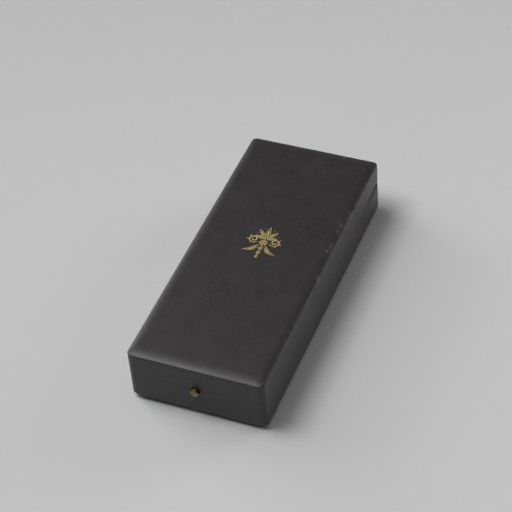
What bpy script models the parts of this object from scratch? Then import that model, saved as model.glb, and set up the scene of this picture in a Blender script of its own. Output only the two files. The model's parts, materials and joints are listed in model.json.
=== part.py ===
"""A long leather-covered presentation case: a hinged crowned lid, a push-button catch and padded linings.

The case stands on its underside at the origin, its length along Y and its width along X, and its button
faces -Y. All sizes are in metres.
"""
import math

import bmesh
import bpy
from mathutils import Matrix, Vector

# Outside of the closed case
CASE_LENGTH = 0.2000
CASE_WIDTH = 0.0845
EDGE_HEIGHT = 0.0365
SEAM_HEIGHT = 0.0217
CROWN_RISE = 0.0012

# Rounding of the outside
PLAN_RADIUS = 0.0037
FOOT_RADIUS = 0.0030
RIM_RADIUS = 0.0003
ARRIS_RADIUS = 0.0005
CROWN_EDGE_ANGLE = math.radians(27)
CROWN_SIDE_WIDTH = 0.0074
CROWN_END_WIDTH = 0.0100
CROWN_MIDDLE_RADIUS = 0.0045
CROWN_POWER = 3.0
CROWN_SHARES = (0.0, 0.08, 0.18, 0.30, 0.45, 0.62, 0.80, 1.0)
CROWN_INNER_SHARES = (0.30, 0.62, 1.0)

# Thickness of what the case is built from
LEATHER = 0.0008
BOARD = 0.0045
BOTTOM_BOARD = 0.0030
TOP_BOARD_EDGE = 0.0030
LINING = 0.0010
TURN_IN = 0.0090
TURN_UP = 0.0060
LEATHER_LIFT = 0.0002

# Gaps between neighbours, and how far a cutter runs past what it cuts
FIT = 0.0003
HARDWARE_FIT = 0.0002
SEAM_GAP = 0.0003
INNER_CORNER = 0.0003
OVERRUN = 0.0020

# Linings and pads
LIP_RISE = 0.0030
LINING_EDGE = 0.0003
BED_EDGE = 0.0036
BED_CROWN = 0.0018
LID_PAD_EDGE = 0.0014
LID_PAD_CROWN = 0.0018
PAD_EDGE_RADIUS = 0.0012
PAD_CORNER = 0.0025
PAD_DRAW = 0.0004
PAD_SHARES = (0.0, 0.12, 0.28, 0.48, 0.70, 0.92)

# Hinges
HINGE_SPACING = 0.0480
HINGE_LENGTH = 0.0140
HINGE_STAND_OFF = 0.0003
BARREL_RADIUS = 0.0016
BORE_RADIUS = 0.0010
PIN_RADIUS = 0.0007
PIN_HEAD_RADIUS = 0.0011
PIN_HEAD = 0.0004
KNUCKLES = 3
LEAF_TONGUE = 0.0012
HINGE_SCREW_SPACING = 0.0084
HINGE_SCREW_INSET = 0.0015

# Screws
SCREW_HEAD_RADIUS = 0.0011
SCREW_HEAD = 0.0006
SCREW_SHANK_RADIUS = 0.0006
SCREW_POINT_RADIUS = 0.0002
SCREW_POINT = 0.0010
SCREW_SLOT = 0.0003
HINGE_SCREW_LENGTH = 0.0050
KEEPER_SCREW_LENGTH = 0.0045
SPRING_SCREW_LENGTH = 0.0021

# Button, its travel and its place below the seam
BUTTON_DROP = 0.0019
BUTTON_RADIUS = 0.00275
BUTTON_REACH = 0.0025
BUTTON_DOME = 0.0006
BUTTON_SINK = 0.0003
BUTTON_TRAVEL = 0.0008
STEM_RADIUS = 0.0007
TAIL_RADIUS = 0.00045
CLENCH_RADIUS = 0.0010
CLENCH = 0.0004

# Leaf spring with its hook nose, and the keeper plate that the nose holds down
SPRING_DEPTH = 0.0036
SPRING_THICKNESS = 0.0004
SPRING_WIDTH = 0.0040
SPRING_FOOT = 0.0009
SPRING_SCREW_RISE = 0.0014
SPRING_SCREW_SPACING = 0.0032
POCKET_SIDE = 0.0006
NOSE_REACH = 0.0009
NOSE_HEIGHT = 0.0010
NOSE_TIP = 0.0004
KEEPER_WIDTH = 0.0140
KEEPER_SET_BACK = 0.0020
KEEPER_SCREW_SPACING = 0.0098
KEEPER_SCREW_INSET = 0.0013

# Gilt ornament, measured on the lid from its own middle
GILT_BACK_SHIFT = 0.0090
GILT_LIFT = 0.0001
GILT_THICKNESS = 0.00015
GILT_TIP = 0.00012
TAPER_POWER = 0.8
ROSETTE_RADIUS = 0.0024
ROSETTE_PETAL = 0.00045
ROSETTE_EYE = 0.0008
ROSETTE_PETALS = 8
PALMETTE_REACH = 0.0106
PALMETTE_FOOT = 0.0031
PALMETTE_LOBES = 5
PALMETTE_SPREAD = math.radians(84)
PALMETTE_VALLEY_SHARE = 0.24
PALMETTE_SIDE_SHARE = 0.50
PENDANT_LENGTH = 0.0112
PENDANT_WIDTH = 0.0028
PENDANT_DROPS = 3
PENDANT_FADE_SHARE = 0.60
SCROLL_REACH = 0.0067
SCROLL_RADIUS = 0.0033
SCROLL_WIDTH = 0.0011
SCROLL_START = math.radians(-150)
SCROLL_TURN = math.radians(500)
SCROLL_WIND_SHARE = 0.72
SCROLL_TIP_SHARE = 0.08
SCROLL_END_SHARE = 0.96
LEAF_LENGTH = 0.0096
LEAF_WIDTH = 0.0020
LEAF_BEND = 0.0017
LEAF_SLANT = math.radians(40)

# How finely round shapes are divided
CORNER_STEPS = 5
ROUND_STEPS = 18
BUTTON_STEPS = 28
SCREW_STEPS = 12
FOOT_STEPS = 6
EDGE_STEPS = 3
PAD_SIDE_POINTS = 4
GILT_STEPS = 36
PETAL_STEPS = 8
LOBE_STEPS = 14

# Places that follow from the sizes above
HALF_LENGTH = CASE_LENGTH / 2
HALF_WIDTH = CASE_WIDTH / 2
BOARD_OUTSET = LEATHER + FIT
RIM_INSET = BOARD_OUTSET + BOARD
LINING_INSET = RIM_INSET + FIT
WELL_INSET = LINING_INSET + LINING
LID_BOARD_INSET = RIM_INSET - LEATHER - FIT
BASE_RIM = SEAM_HEIGHT - SEAM_GAP / 2
LID_RIM = SEAM_HEIGHT + SEAM_GAP / 2
BOTTOM_BOARD_LOW = LEATHER_LIFT + LEATHER + FIT
BASE_FLOOR = BOTTOM_BOARD_LOW + BOTTOM_BOARD + FIT
TOP_BOARD_LOW = EDGE_HEIGHT - BOARD_OUTSET - TOP_BOARD_EDGE
LID_CEILING = TOP_BOARD_LOW - FIT
LIP_TOP = SEAM_HEIGHT + LIP_RISE
HINGE_Y = HALF_LENGTH + HINGE_STAND_OFF
BUTTON_HEIGHT = SEAM_HEIGHT - BUTTON_DROP
FRONT = -HALF_LENGTH
SPRING_FACE = FRONT + SPRING_DEPTH
KEEPER_EDGE = SPRING_FACE - FIT
NOSE_LOW = LID_RIM + LEATHER + FIT
CROWN_TOP = EDGE_HEIGHT - ARRIS_RADIUS * (1 - math.cos(CROWN_EDGE_ANGLE)) + CROWN_RISE

# Finishes: colour, roughness, metallic
BLACK_LEATHER = ((0.036, 0.033, 0.034), 0.46, 0.0)
LIME_WOOD = ((0.55, 0.40, 0.24), 0.70, 0.0)
BLACK_PAPER = ((0.020, 0.019, 0.020), 0.85, 0.0)
BLUE_VELVET = ((0.020, 0.030, 0.110), 0.95, 0.0)
IVORY_SILK = ((0.72, 0.65, 0.50), 0.45, 0.0)
BRASS = ((0.58, 0.40, 0.18), 0.35, 1.0)
STEEL = ((0.45, 0.44, 0.42), 0.35, 1.0)
GOLD_LEAF = ((0.62, 0.50, 0.22), 0.40, 1.0)

for old in list(bpy.data.objects):
    bpy.data.objects.remove(old, do_unlink=True)


def add_pivot(name, location):
    """An empty that stands where its pieces turn or slide."""
    pivot = bpy.data.objects.new(name, None)
    pivot.location = location
    bpy.context.collection.objects.link(pivot)
    return pivot


case = add_pivot("case", (0, 0, 0))
lid = add_pivot("lid_axis", (0, HINGE_Y, SEAM_HEIGHT))
catch = add_pivot("button_axis", (0, FRONT, BUTTON_HEIGHT))


def make_mesh(name, shape, smooth=True):
    """Close a bmesh into a mesh whose faces point outwards."""
    bmesh.ops.recalc_face_normals(shape, faces=shape.faces)
    mesh = bpy.data.meshes.new(name)
    shape.to_mesh(mesh)
    shape.free()
    if smooth:
        mesh.shade_smooth()
        mesh.set_sharp_from_angle(angle=math.radians(30))
    return mesh


def add_material(piece, finish):
    """Give a piece its own material."""
    colour, roughness, metallic = finish
    material = bpy.data.materials.new(piece.name)
    material.use_nodes = True
    shader = material.node_tree.nodes["Principled BSDF"]
    shader.inputs["Base Color"].default_value = (*colour, 1)
    shader.inputs["Roughness"].default_value = roughness
    shader.inputs["Metallic"].default_value = metallic
    piece.data.materials.clear()
    piece.data.materials.append(material)


def add_piece(name, shape, finish, parent, smooth=True):
    """Make a piece from a bmesh in the case's coordinates, with its origin at its parent's."""
    mesh = make_mesh(name, shape, smooth)
    mesh.transform(Matrix.Translation(-parent.location))
    piece = bpy.data.objects.new(name, mesh)
    bpy.context.collection.objects.link(piece)
    piece.parent = parent
    add_material(piece, finish)
    return piece


def add_cutter(name, shape):
    """Make a hidden shape that only cuts or joins other pieces."""
    cutter = bpy.data.objects.new(name, make_mesh(name, shape))
    bpy.context.collection.objects.link(cutter)
    cutter.hide_render = True
    cutter.display_type = "WIRE"
    return cutter


def combine(piece, other, operation="DIFFERENCE"):
    """Cut another shape out of a piece, or join it on with UNION."""
    boolean = piece.modifiers.new(f"{operation.lower()} {other.name}", "BOOLEAN")
    boolean.operation = operation
    boolean.solver = "EXACT"
    boolean.object = other


def box(low, high):
    """A block between two corners."""
    shape = bmesh.new()
    bmesh.ops.create_cube(shape, size=1)
    low, high = Vector(low), Vector(high)
    for vertex in shape.verts:
        share = vertex.co + Vector((0.5, 0.5, 0.5))
        vertex.co = low + Vector(a * b for a, b in zip(share, high - low))
    return shape


def loft(rings, joined=False):
    """Skin a row of rings with equal counts. The ends are capped, or the last ring joins the first."""
    shape = bmesh.new()
    rows = [[shape.verts.new(point) for point in ring] for ring in rings]
    pairs = list(zip(rows, rows[1:]))
    if joined:
        pairs.append((rows[-1], rows[0]))
    else:
        shape.faces.new(rows[0])
        shape.faces.new(rows[-1])
    for one, other in pairs:
        for here in range(len(one)):
            after = (here + 1) % len(one)
            shape.faces.new((one[here], one[after], other[after], other[here]))
    return shape


def turned(profile, centre, axis, steps=ROUND_STEPS):
    """Turn a profile of (radius, distance) pairs about an axis through a centre."""
    axis = Vector(axis)
    across = axis.orthogonal().normalized()
    beside = axis.cross(across)
    rings = []
    for radius, distance in profile:
        middle = Vector(centre) + axis * distance
        angles = [math.tau * step / steps for step in range(steps)]
        rings.append([middle + radius * (across * math.cos(a) + beside * math.sin(a)) for a in angles])
    return loft(rings)


def rounded_ring(half_x, half_y, corner, height, along=0, draw=0.0):
    """A level rounded rectangle. Its sides may have points along them and be drawn in between the corners."""
    ring = []
    for quarter, (side_x, side_y) in enumerate(((1, -1), (1, 1), (-1, 1), (-1, -1))):
        middle = Vector((side_x * (half_x - corner), side_y * (half_y - corner), height))
        for step in range(CORNER_STEPS + 1):
            angle = math.radians(90 * (quarter - 1 + step / CORNER_STEPS))
            ring.append(middle + corner * Vector((math.cos(angle), math.sin(angle), 0)))
        reach = (half_y if quarter % 2 == 0 else half_x) - corner
        forward = Vector((-math.sin(angle), math.cos(angle), 0))
        inward = -Vector((math.cos(angle), math.sin(angle), 0))
        start = ring[-1]
        for step in range(1, along + 1):
            share = step / (along + 1)
            bow = draw * math.sin(math.pi * share)
            ring.append(start + forward * 2 * reach * share + inward * bow)
    return ring


def case_ring(inset, height):
    """The case's outline, moved inwards."""
    corner = max(PLAN_RADIUS - inset, INNER_CORNER)
    return rounded_ring(HALF_WIDTH - inset, HALF_LENGTH - inset, corner, height)


def section_arc(inset, height, radius, start, stop, steps):
    """Points (inset, height) of an arc in the wall's section. At 0 degrees it is outermost, at 90 highest."""
    arc = []
    for step in range(steps + 1):
        angle = math.radians(start + (stop - start) * step / steps)
        arc.append((inset - radius * math.cos(angle), height + radius * math.sin(angle)))
    return arc


def crown_ring(share, drop):
    """One ring of the lid's crowned top, from its edge at share 0 to its flat middle at share 1."""
    edge_inset = ARRIS_RADIUS * (1 - math.sin(CROWN_EDGE_ANGLE))
    inset_x = edge_inset + share * (CROWN_SIDE_WIDTH - edge_inset)
    inset_y = edge_inset + share * (CROWN_END_WIDTH - edge_inset)
    corner = PLAN_RADIUS - edge_inset + share * (CROWN_MIDDLE_RADIUS - PLAN_RADIUS + edge_inset)
    height = CROWN_TOP - CROWN_RISE * (1 - share) ** CROWN_POWER - drop
    return rounded_ring(HALF_WIDTH - inset_x, HALF_LENGTH - inset_y, corner, height)


# Covering of the base: outside from the turned-in lower edge to the rim, then back along its inner face
foot_centre = (FOOT_RADIUS, LEATHER_LIFT + FOOT_RADIUS)
base_section = [(TURN_IN, LEATHER_LIFT)]
base_section += section_arc(*foot_centre, FOOT_RADIUS, -90, 0, FOOT_STEPS)
base_section += section_arc(RIM_RADIUS, BASE_RIM - RIM_RADIUS, RIM_RADIUS, 0, 90, EDGE_STEPS)
base_section += [(RIM_INSET, BASE_RIM), (RIM_INSET, BASE_RIM - LEATHER), (LEATHER, BASE_RIM - LEATHER)]
base_section += section_arc(*foot_centre, FOOT_RADIUS - LEATHER, 0, -90, FOOT_STEPS)
base_section += [(TURN_IN, LEATHER_LIFT + LEATHER)]
base_rings = [case_ring(inset, height) for inset, height in base_section]
base_leather = add_piece("base_leather", loft(base_rings, joined=True), BLACK_LEATHER, case)

# Covering of the lid: from the crowned middle over the edge, down, round the rim and a little way up inside
lid_rings = [crown_ring(share, 0) for share in reversed(CROWN_SHARES)]
arris_start = 90 - math.degrees(CROWN_EDGE_ANGLE)
arris = section_arc(ARRIS_RADIUS, EDGE_HEIGHT - ARRIS_RADIUS, ARRIS_RADIUS, arris_start, 0, EDGE_STEPS)
lid_section = arris[1:]
lid_section += section_arc(RIM_RADIUS, LID_RIM + RIM_RADIUS, RIM_RADIUS, 0, -90, EDGE_STEPS)
lid_section += [(RIM_INSET, LID_RIM), (RIM_INSET, LID_RIM + TURN_UP)]
lid_section += [(RIM_INSET - LEATHER, LID_RIM + TURN_UP), (RIM_INSET - LEATHER, LID_RIM + LEATHER)]
lid_section += [(LEATHER, LID_RIM + LEATHER), (LEATHER, EDGE_HEIGHT - LEATHER)]
lid_rings += [case_ring(inset, height) for inset, height in lid_section]
lid_rings += [crown_ring(share, LEATHER) for share in CROWN_INNER_SHARES]
lid_leather = add_piece("lid_leather", loft(lid_rings), BLACK_LEATHER, lid)

# Bottom board, its lower edge rounded inside the leather
bottom_radius = FOOT_RADIUS - BOARD_OUTSET
bottom_section = section_arc(FOOT_RADIUS, LEATHER_LIFT + FOOT_RADIUS, bottom_radius, -90, 0, EDGE_STEPS)
bottom_section += [(BOARD_OUTSET, BOTTOM_BOARD_LOW + BOTTOM_BOARD)]
bottom_rings = [case_ring(inset, height) for inset, height in bottom_section]
add_piece("base_bottom_board", loft(bottom_rings), LIME_WOOD, case)

# Top board, crowned under the leather
top_rings = [case_ring(BOARD_OUTSET, TOP_BOARD_LOW), case_ring(BOARD_OUTSET, EDGE_HEIGHT - BOARD_OUTSET)]
top_rings += [crown_ring(share, BOARD_OUTSET) for share in CROWN_INNER_SHARES]
add_piece("lid_top_board", loft(top_rings), LIME_WOOD, lid)

# Card under the bottom, between the leather's turned-in edges. The case stands on it
panel_inset = TURN_IN + FIT
panel_rings = [case_ring(panel_inset, 0), case_ring(panel_inset, LEATHER_LIFT + LEATHER)]
add_piece("underside_panel", loft(panel_rings), BLACK_PAPER, case)


def add_wall_board(name, low, high, outer_corners, parent):
    """A wall board, with its two outer upright edges rounded where it turns a corner of the case."""
    shape = box(low, high)
    if outer_corners:
        outer_y = low[1] if outer_corners < 0 else high[1]
        radius = PLAN_RADIUS - BOARD_OUTSET
        upright = []
        for edge in shape.edges:
            one, other = (vertex.co for vertex in edge.verts)
            tall = abs(one.z - other.z) > (high[2] - low[2]) / 2
            if tall and abs(one.y - outer_y) < INNER_CORNER:
                upright.append(edge)
        bmesh.ops.bevel(shape, geom=upright, offset=radius, segments=EDGE_STEPS, profile=0.5, affect="EDGES")
    return add_piece(name, shape, LIME_WOOD, parent, smooth=False)


def add_walls(half, inset, low, high, parent):
    """The four boards round one half of the case, with their inner faces at an inset."""
    out_x, out_y = HALF_WIDTH - BOARD_OUTSET, HALF_LENGTH - BOARD_OUTSET
    in_x, in_y = HALF_WIDTH - inset, HALF_LENGTH - inset
    side_y = in_y - FIT
    front = add_wall_board(f"{half}_front_board", (-out_x, -out_y, low), (out_x, -in_y, high), -1, parent)
    back = add_wall_board(f"{half}_back_board", (-out_x, in_y, low), (out_x, out_y, high), 1, parent)
    add_wall_board(f"{half}_left_board", (-out_x, -side_y, low), (-in_x, side_y, high), 0, parent)
    add_wall_board(f"{half}_right_board", (in_x, -side_y, low), (out_x, side_y, high), 0, parent)
    return front, back


base_front_board, base_back_board = add_walls("base", RIM_INSET, BASE_FLOOR, BASE_RIM - LEATHER - FIT, case)
lid_front_board, lid_back_board = add_walls("lid", LID_BOARD_INSET, LID_RIM + LEATHER + FIT, LID_CEILING, lid)


def add_linings(kind, low, high, finish, parent):
    """Four covered strips that line the inside of one half, with softened edges."""
    out_x, out_y = HALF_WIDTH - LINING_INSET, HALF_LENGTH - LINING_INSET
    in_x, in_y = HALF_WIDTH - WELL_INSET, HALF_LENGTH - WELL_INSET
    side_y = in_y - FIT
    blocks = {
        "front": ((-out_x, -out_y, low), (out_x, -in_y, high)),
        "back": ((-out_x, in_y, low), (out_x, out_y, high)),
        "left": ((-out_x, -side_y, low), (-in_x, side_y, high)),
        "right": ((in_x, -side_y, low), (out_x, side_y, high)),
    }
    for side, corners in blocks.items():
        shape = box(*corners)
        bmesh.ops.bevel(shape, geom=shape.edges[:], offset=LINING_EDGE, segments=1, affect="EDGES")
        add_piece(f"{kind}_{side}", shape, finish, parent, smooth=False)


add_linings("velvet_lining", BASE_FLOOR, LIP_TOP, BLUE_VELVET, case)
add_linings("silk_lining", LIP_TOP + FIT, LID_CEILING, IVORY_SILK, lid)


def pad_shape(seat, edge, crown, upwards):
    """A crowned pad with drawn-in sides, which fills the well on a flat seat."""
    inset = WELL_INSET + FIT
    half_x, half_y = HALF_WIDTH - inset, HALF_LENGTH - inset
    corner = PAD_CORNER
    rings = [(0.0, 0.0), (0.0, edge - PAD_EDGE_RADIUS)]
    for step in range(1, EDGE_STEPS):
        angle = math.radians(90 * step / EDGE_STEPS)
        inward = PAD_EDGE_RADIUS * (1 - math.cos(angle))
        rings.append((inward, edge - PAD_EDGE_RADIUS * (1 - math.sin(angle))))
    for share in PAD_SHARES:
        inward = PAD_EDGE_RADIUS + share * (half_x - PAD_EDGE_RADIUS - corner)
        rings.append((inward, edge + crown * math.sin(math.pi / 2 * share)))
    outlines = []
    for inward, rise in rings:
        height = seat + rise if upwards else seat - rise
        side_x, side_y = half_x - inward, half_y - inward
        outlines.append(rounded_ring(side_x, side_y, corner, height, PAD_SIDE_POINTS, PAD_DRAW))
    return loft(outlines)


add_piece("bed_pad", pad_shape(BASE_FLOOR, BED_EDGE, BED_CROWN, True), BLUE_VELVET, case)
add_piece("lid_pad", pad_shape(LID_CEILING, LID_PAD_EDGE, LID_PAD_CROWN, False), IVORY_SILK, lid)


def screw_mesh(name, length):
    """A slotted countersunk wood screw that points along -Z, with the top of its head at its origin."""
    profile = [
        (SCREW_HEAD_RADIUS, 0),
        (SCREW_SHANK_RADIUS, SCREW_HEAD),
        (SCREW_SHANK_RADIUS, length - SCREW_POINT),
        (SCREW_POINT_RADIUS, length),
    ]
    blank = bpy.data.objects.new(name, make_mesh(name, turned(profile, (0, 0, 0), (0, 0, -1), SCREW_STEPS)))
    bpy.context.collection.objects.link(blank)
    reach = SCREW_HEAD_RADIUS + OVERRUN
    slot = box((-reach, -SCREW_SLOT / 2, -SCREW_SLOT), (reach, SCREW_SLOT / 2, OVERRUN))
    combine(blank, add_cutter(f"{name}_slot", slot))
    slotted = bpy.data.meshes.new_from_object(blank.evaluated_get(bpy.context.evaluated_depsgraph_get()))
    slotted.name = name
    bpy.data.objects.remove(blank, do_unlink=True)
    return slotted


hinge_screw = screw_mesh("hinge_screw", HINGE_SCREW_LENGTH)
keeper_screw = screw_mesh("keeper_screw", KEEPER_SCREW_LENGTH)
spring_screw = screw_mesh("spring_screw", SPRING_SCREW_LENGTH)


def add_screw(name, mesh, head, outward, finish, parent):
    """Set a screw with its head at a point, facing outward."""
    screw = bpy.data.objects.new(name, mesh.copy())
    bpy.context.collection.objects.link(screw)
    screw.parent = parent
    screw.rotation_euler = Vector((0, 0, 1)).rotation_difference(Vector(outward)).to_euler()
    screw.location = Vector(head) - parent.location
    add_material(screw, finish)
    return screw


def screw_hole(name, length, head, outward):
    """The countersunk hole that a screw sits in."""
    profile = [
        (SCREW_HEAD_RADIUS + HARDWARE_FIT, -OVERRUN),
        (SCREW_HEAD_RADIUS + HARDWARE_FIT, 0),
        (SCREW_SHANK_RADIUS + HARDWARE_FIT, SCREW_HEAD),
        (SCREW_SHANK_RADIUS + HARDWARE_FIT, length + FIT),
    ]
    return add_cutter(name, turned(profile, head, -Vector(outward), SCREW_STEPS))


def cylinder_along_x(radius, centre_x, length):
    """A round bar about the hinge axis."""
    profile = [(radius, 0), (radius, length)]
    return turned(profile, (centre_x - length / 2, HINGE_Y, SEAM_HEIGHT), (1, 0, 0))


def add_hinge(side, centre_x):
    """A butt hinge let into the rims, its barrel half sunk in the back of the case."""
    knuckle = (HINGE_LENGTH - FIT * (KNUCKLES - 1)) / KNUCKLES
    pitch = knuckle + FIT
    inner_y = HALF_LENGTH - RIM_INSET
    low_x, high_x = centre_x - HINGE_LENGTH / 2, centre_x + HINGE_LENGTH / 2
    room_length = HINGE_LENGTH + 2 * (HARDWARE_FIT + PIN_HEAD + FIT)
    barrel_room = add_cutter(f"barrel_room_{side}", cylinder_along_x(BARREL_RADIUS + FIT, centre_x, room_length))
    bore = add_cutter(f"bore_{side}", cylinder_along_x(BORE_RADIUS, centre_x, HINGE_LENGTH + OVERRUN))
    halves = {
        "base": (case, base_leather, base_back_board, BASE_RIM - LEATHER, BASE_RIM, (0, 0, 1), 0),
        "lid": (lid, lid_leather, lid_back_board, LID_RIM, LID_RIM + LEATHER, (0, 0, -1), 1),
    }
    for half, (parent, leather, board, low, high, outward, first) in halves.items():
        plate = box((low_x, inner_y, low), (high_x, HINGE_Y - LEAF_TONGUE, high))
        leaf = add_piece(f"hinge_leaf_{half}_{side}", plate, BRASS, parent, smooth=False)
        for number in range(KNUCKLES):
            middle = low_x + knuckle / 2 + pitch * number
            if number % 2 == first:
                solid = cylinder_along_x(BARREL_RADIUS, middle, knuckle)
                combine(leaf, add_cutter(f"knuckle_{half}_{side}_{number}", solid), "UNION")
            else:
                room = cylinder_along_x(BARREL_RADIUS + FIT, middle, knuckle + 2 * FIT)
                combine(leaf, add_cutter(f"knuckle_room_{half}_{side}_{number}", room))
        combine(leaf, bore)
        face, room_low, room_high = high, low - FIT, high + OVERRUN
        if half == "lid":
            face, room_low, room_high = low, low - OVERRUN, high + FIT
        room_start = (low_x - FIT, inner_y - OVERRUN, room_low)
        leaf_room = box(room_start, (high_x + FIT, HINGE_Y - BARREL_RADIUS, room_high))
        combine(leather, add_cutter(f"leaf_room_{half}_{side}", leaf_room))
        combine(leather, barrel_room)
        combine(board, barrel_room)
        screw_y = HINGE_Y - BARREL_RADIUS - FIT - HINGE_SCREW_INSET
        for number, shift in enumerate((-HINGE_SCREW_SPACING / 2, HINGE_SCREW_SPACING / 2), 1):
            head = (centre_x + shift, screw_y, face)
            add_screw(f"hinge_screw_{half}_{side}_{number}", hinge_screw, head, outward, STEEL, parent)
            hole = screw_hole(f"hinge_hole_{half}_{side}_{number}", HINGE_SCREW_LENGTH, head, outward)
            combine(leaf, hole)
            combine(board, hole)
    pin_profile = [
        (PIN_HEAD_RADIUS, 0),
        (PIN_HEAD_RADIUS, PIN_HEAD),
        (PIN_RADIUS, PIN_HEAD),
        (PIN_RADIUS, PIN_HEAD + HINGE_LENGTH + 2 * HARDWARE_FIT),
        (PIN_HEAD_RADIUS, PIN_HEAD + HINGE_LENGTH + 2 * HARDWARE_FIT),
        (PIN_HEAD_RADIUS, 2 * PIN_HEAD + HINGE_LENGTH + 2 * HARDWARE_FIT),
    ]
    pin_start = (low_x - HARDWARE_FIT - PIN_HEAD, HINGE_Y, SEAM_HEIGHT)
    add_piece(f"hinge_pin_{side}", turned(pin_profile, pin_start, (1, 0, 0)), STEEL, case)


add_hinge("left", -HINGE_SPACING / 2)
add_hinge("right", HINGE_SPACING / 2)

# Button, turned about Y: domed head, stem through the rim, and a tail clenched behind the leaf spring
spring_back = SPRING_FACE + SPRING_THICKNESS
tail_end = spring_back + HARDWARE_FIT
button_profile = [(BUTTON_RADIUS - 2 * BUTTON_DOME, -BUTTON_REACH)]
for turn in range(1, EDGE_STEPS + 1):
    turn_angle = math.radians(90 * turn / EDGE_STEPS)
    round_radius = BUTTON_RADIUS - 2 * BUTTON_DOME * (1 - math.sin(turn_angle))
    button_profile.append((round_radius, -BUTTON_REACH + BUTTON_DOME * (1 - math.cos(turn_angle))))
button_profile += [
    (BUTTON_RADIUS, BUTTON_SINK),
    (STEM_RADIUS, BUTTON_SINK),
    (STEM_RADIUS, SPRING_FACE - HARDWARE_FIT - FRONT),
    (TAIL_RADIUS, SPRING_FACE - HARDWARE_FIT - FRONT),
    (TAIL_RADIUS, tail_end - FRONT),
    (CLENCH_RADIUS, tail_end - FRONT),
    (CLENCH_RADIUS, tail_end - FRONT + CLENCH / 2),
    (TAIL_RADIUS, tail_end - FRONT + CLENCH),
]
button_middle = (0, FRONT, BUTTON_HEIGHT)
add_piece("push_button", turned(button_profile, button_middle, (0, 1, 0), BUTTON_STEPS), BRASS, catch)

# Notch for the button's head in both halves, and the slot for its stem in the base's rim
notch_depth = BUTTON_SINK + BUTTON_TRAVEL + FIT
notch_profile = [(BUTTON_RADIUS + FIT, -OVERRUN), (BUTTON_RADIUS + FIT, notch_depth)]
notch = add_cutter("button_notch", turned(notch_profile, button_middle, (0, 1, 0), BUTTON_STEPS))
for piece in (base_leather, base_front_board, lid_leather, lid_front_board):
    combine(piece, notch)
stem_half = STEM_RADIUS + FIT
slot_start = (-stem_half, FRONT + LEATHER, BUTTON_HEIGHT - stem_half)
stem_slot = add_cutter("stem_slot", box(slot_start, (stem_half, SPRING_FACE, BASE_RIM + OVERRUN)))
combine(base_leather, stem_slot)
combine(base_front_board, stem_slot)

# Leaf spring: its side view, pushed out to its width. The nose at its top points outwards over the keeper
spring_low = BASE_FLOOR + SPRING_FOOT
nose_face = SPRING_FACE - NOSE_REACH
spring_outline = [
    (spring_back, spring_low),
    (spring_back, NOSE_LOW + NOSE_HEIGHT),
    (SPRING_FACE, NOSE_LOW + NOSE_HEIGHT),
    (nose_face, NOSE_LOW + NOSE_TIP),
    (nose_face, NOSE_LOW),
    (SPRING_FACE, NOSE_LOW),
    (SPRING_FACE, spring_low),
]
half_spring = SPRING_WIDTH / 2
spring_rings = [[Vector((x, y, z)) for y, z in spring_outline] for x in (-half_spring, half_spring)]
leaf_spring = add_piece("leaf_spring", loft(spring_rings), BRASS, case, smooth=False)
tail_room = TAIL_RADIUS + HARDWARE_FIT
tail_profile = [(tail_room, -OVERRUN), (tail_room, OVERRUN)]
tail_hole = turned(tail_profile, (0, SPRING_FACE, BUTTON_HEIGHT), (0, 1, 0), BUTTON_STEPS)
combine(leaf_spring, add_cutter("tail_hole", tail_hole))

# Pocket behind the spring in the base's front board, open to the inside
pocket_half = half_spring + POCKET_SIDE
pocket = add_cutter(
    "spring_pocket",
    box(
        (-pocket_half, SPRING_FACE - FIT, spring_low - FIT),
        (pocket_half, FRONT + RIM_INSET + OVERRUN, BASE_RIM + OVERRUN),
    ),
)
combine(base_front_board, pocket)
combine(base_leather, pocket)
for number in (1, 2):
    screw_rise = spring_low + SPRING_SCREW_RISE + SPRING_SCREW_SPACING * (number - 1)
    screw_head = (0, spring_back + SCREW_HEAD - SPRING_THICKNESS, screw_rise)
    add_screw(f"spring_screw_{number}", spring_screw, screw_head, (0, 1, 0), STEEL, case)
    spring_hole = screw_hole(f"spring_hole_{number}", SPRING_SCREW_LENGTH, screw_head, (0, 1, 0))
    combine(leaf_spring, spring_hole)
    combine(base_front_board, spring_hole)

# Keeper plate let into the lid's rim, notched for the spring, with room above it for the nose
keeper_low = FRONT + KEEPER_SET_BACK
inner_face = FRONT + RIM_INSET
half_keeper = KEEPER_WIDTH / 2
slot_half = half_spring + FIT
keeper_block = box((-half_keeper, keeper_low, LID_RIM), (half_keeper, inner_face, LID_RIM + LEATHER))
keeper = add_piece("keeper_plate", keeper_block, BRASS, lid, smooth=False)
keeper_slot = box(
    (-slot_half, KEEPER_EDGE, LID_RIM - OVERRUN),
    (slot_half, inner_face + OVERRUN, LID_RIM + LEATHER + OVERRUN),
)
combine(keeper, add_cutter("keeper_slot", keeper_slot))
keeper_room = box(
    (-half_keeper - FIT, keeper_low - FIT, LID_RIM - OVERRUN),
    (half_keeper + FIT, inner_face + OVERRUN, LID_RIM + LEATHER + FIT),
)
combine(lid_leather, add_cutter("keeper_room", keeper_room))
nose_room = box(
    (-slot_half, nose_face - FIT, LID_RIM),
    (slot_half, inner_face + OVERRUN, NOSE_LOW + NOSE_HEIGHT + FIT),
)
nose_cutter = add_cutter("nose_room", nose_room)
combine(lid_front_board, nose_cutter)
combine(lid_leather, nose_cutter)
for number, shift in enumerate((-KEEPER_SCREW_SPACING / 2, KEEPER_SCREW_SPACING / 2), 1):
    screw_head = (shift, keeper_low + KEEPER_SCREW_INSET, LID_RIM)
    add_screw(f"keeper_screw_{number}", keeper_screw, screw_head, (0, 0, -1), STEEL, lid)
    keeper_hole = screw_hole(f"keeper_hole_{number}", KEEPER_SCREW_LENGTH, screw_head, (0, 0, -1))
    combine(keeper, keeper_hole)
    combine(lid_front_board, keeper_hole)


def gilt_point(across, along, height):
    """A place on the ornament, measured from its middle on the lid."""
    return Vector((across, GILT_BACK_SHIFT + along, height))


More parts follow.
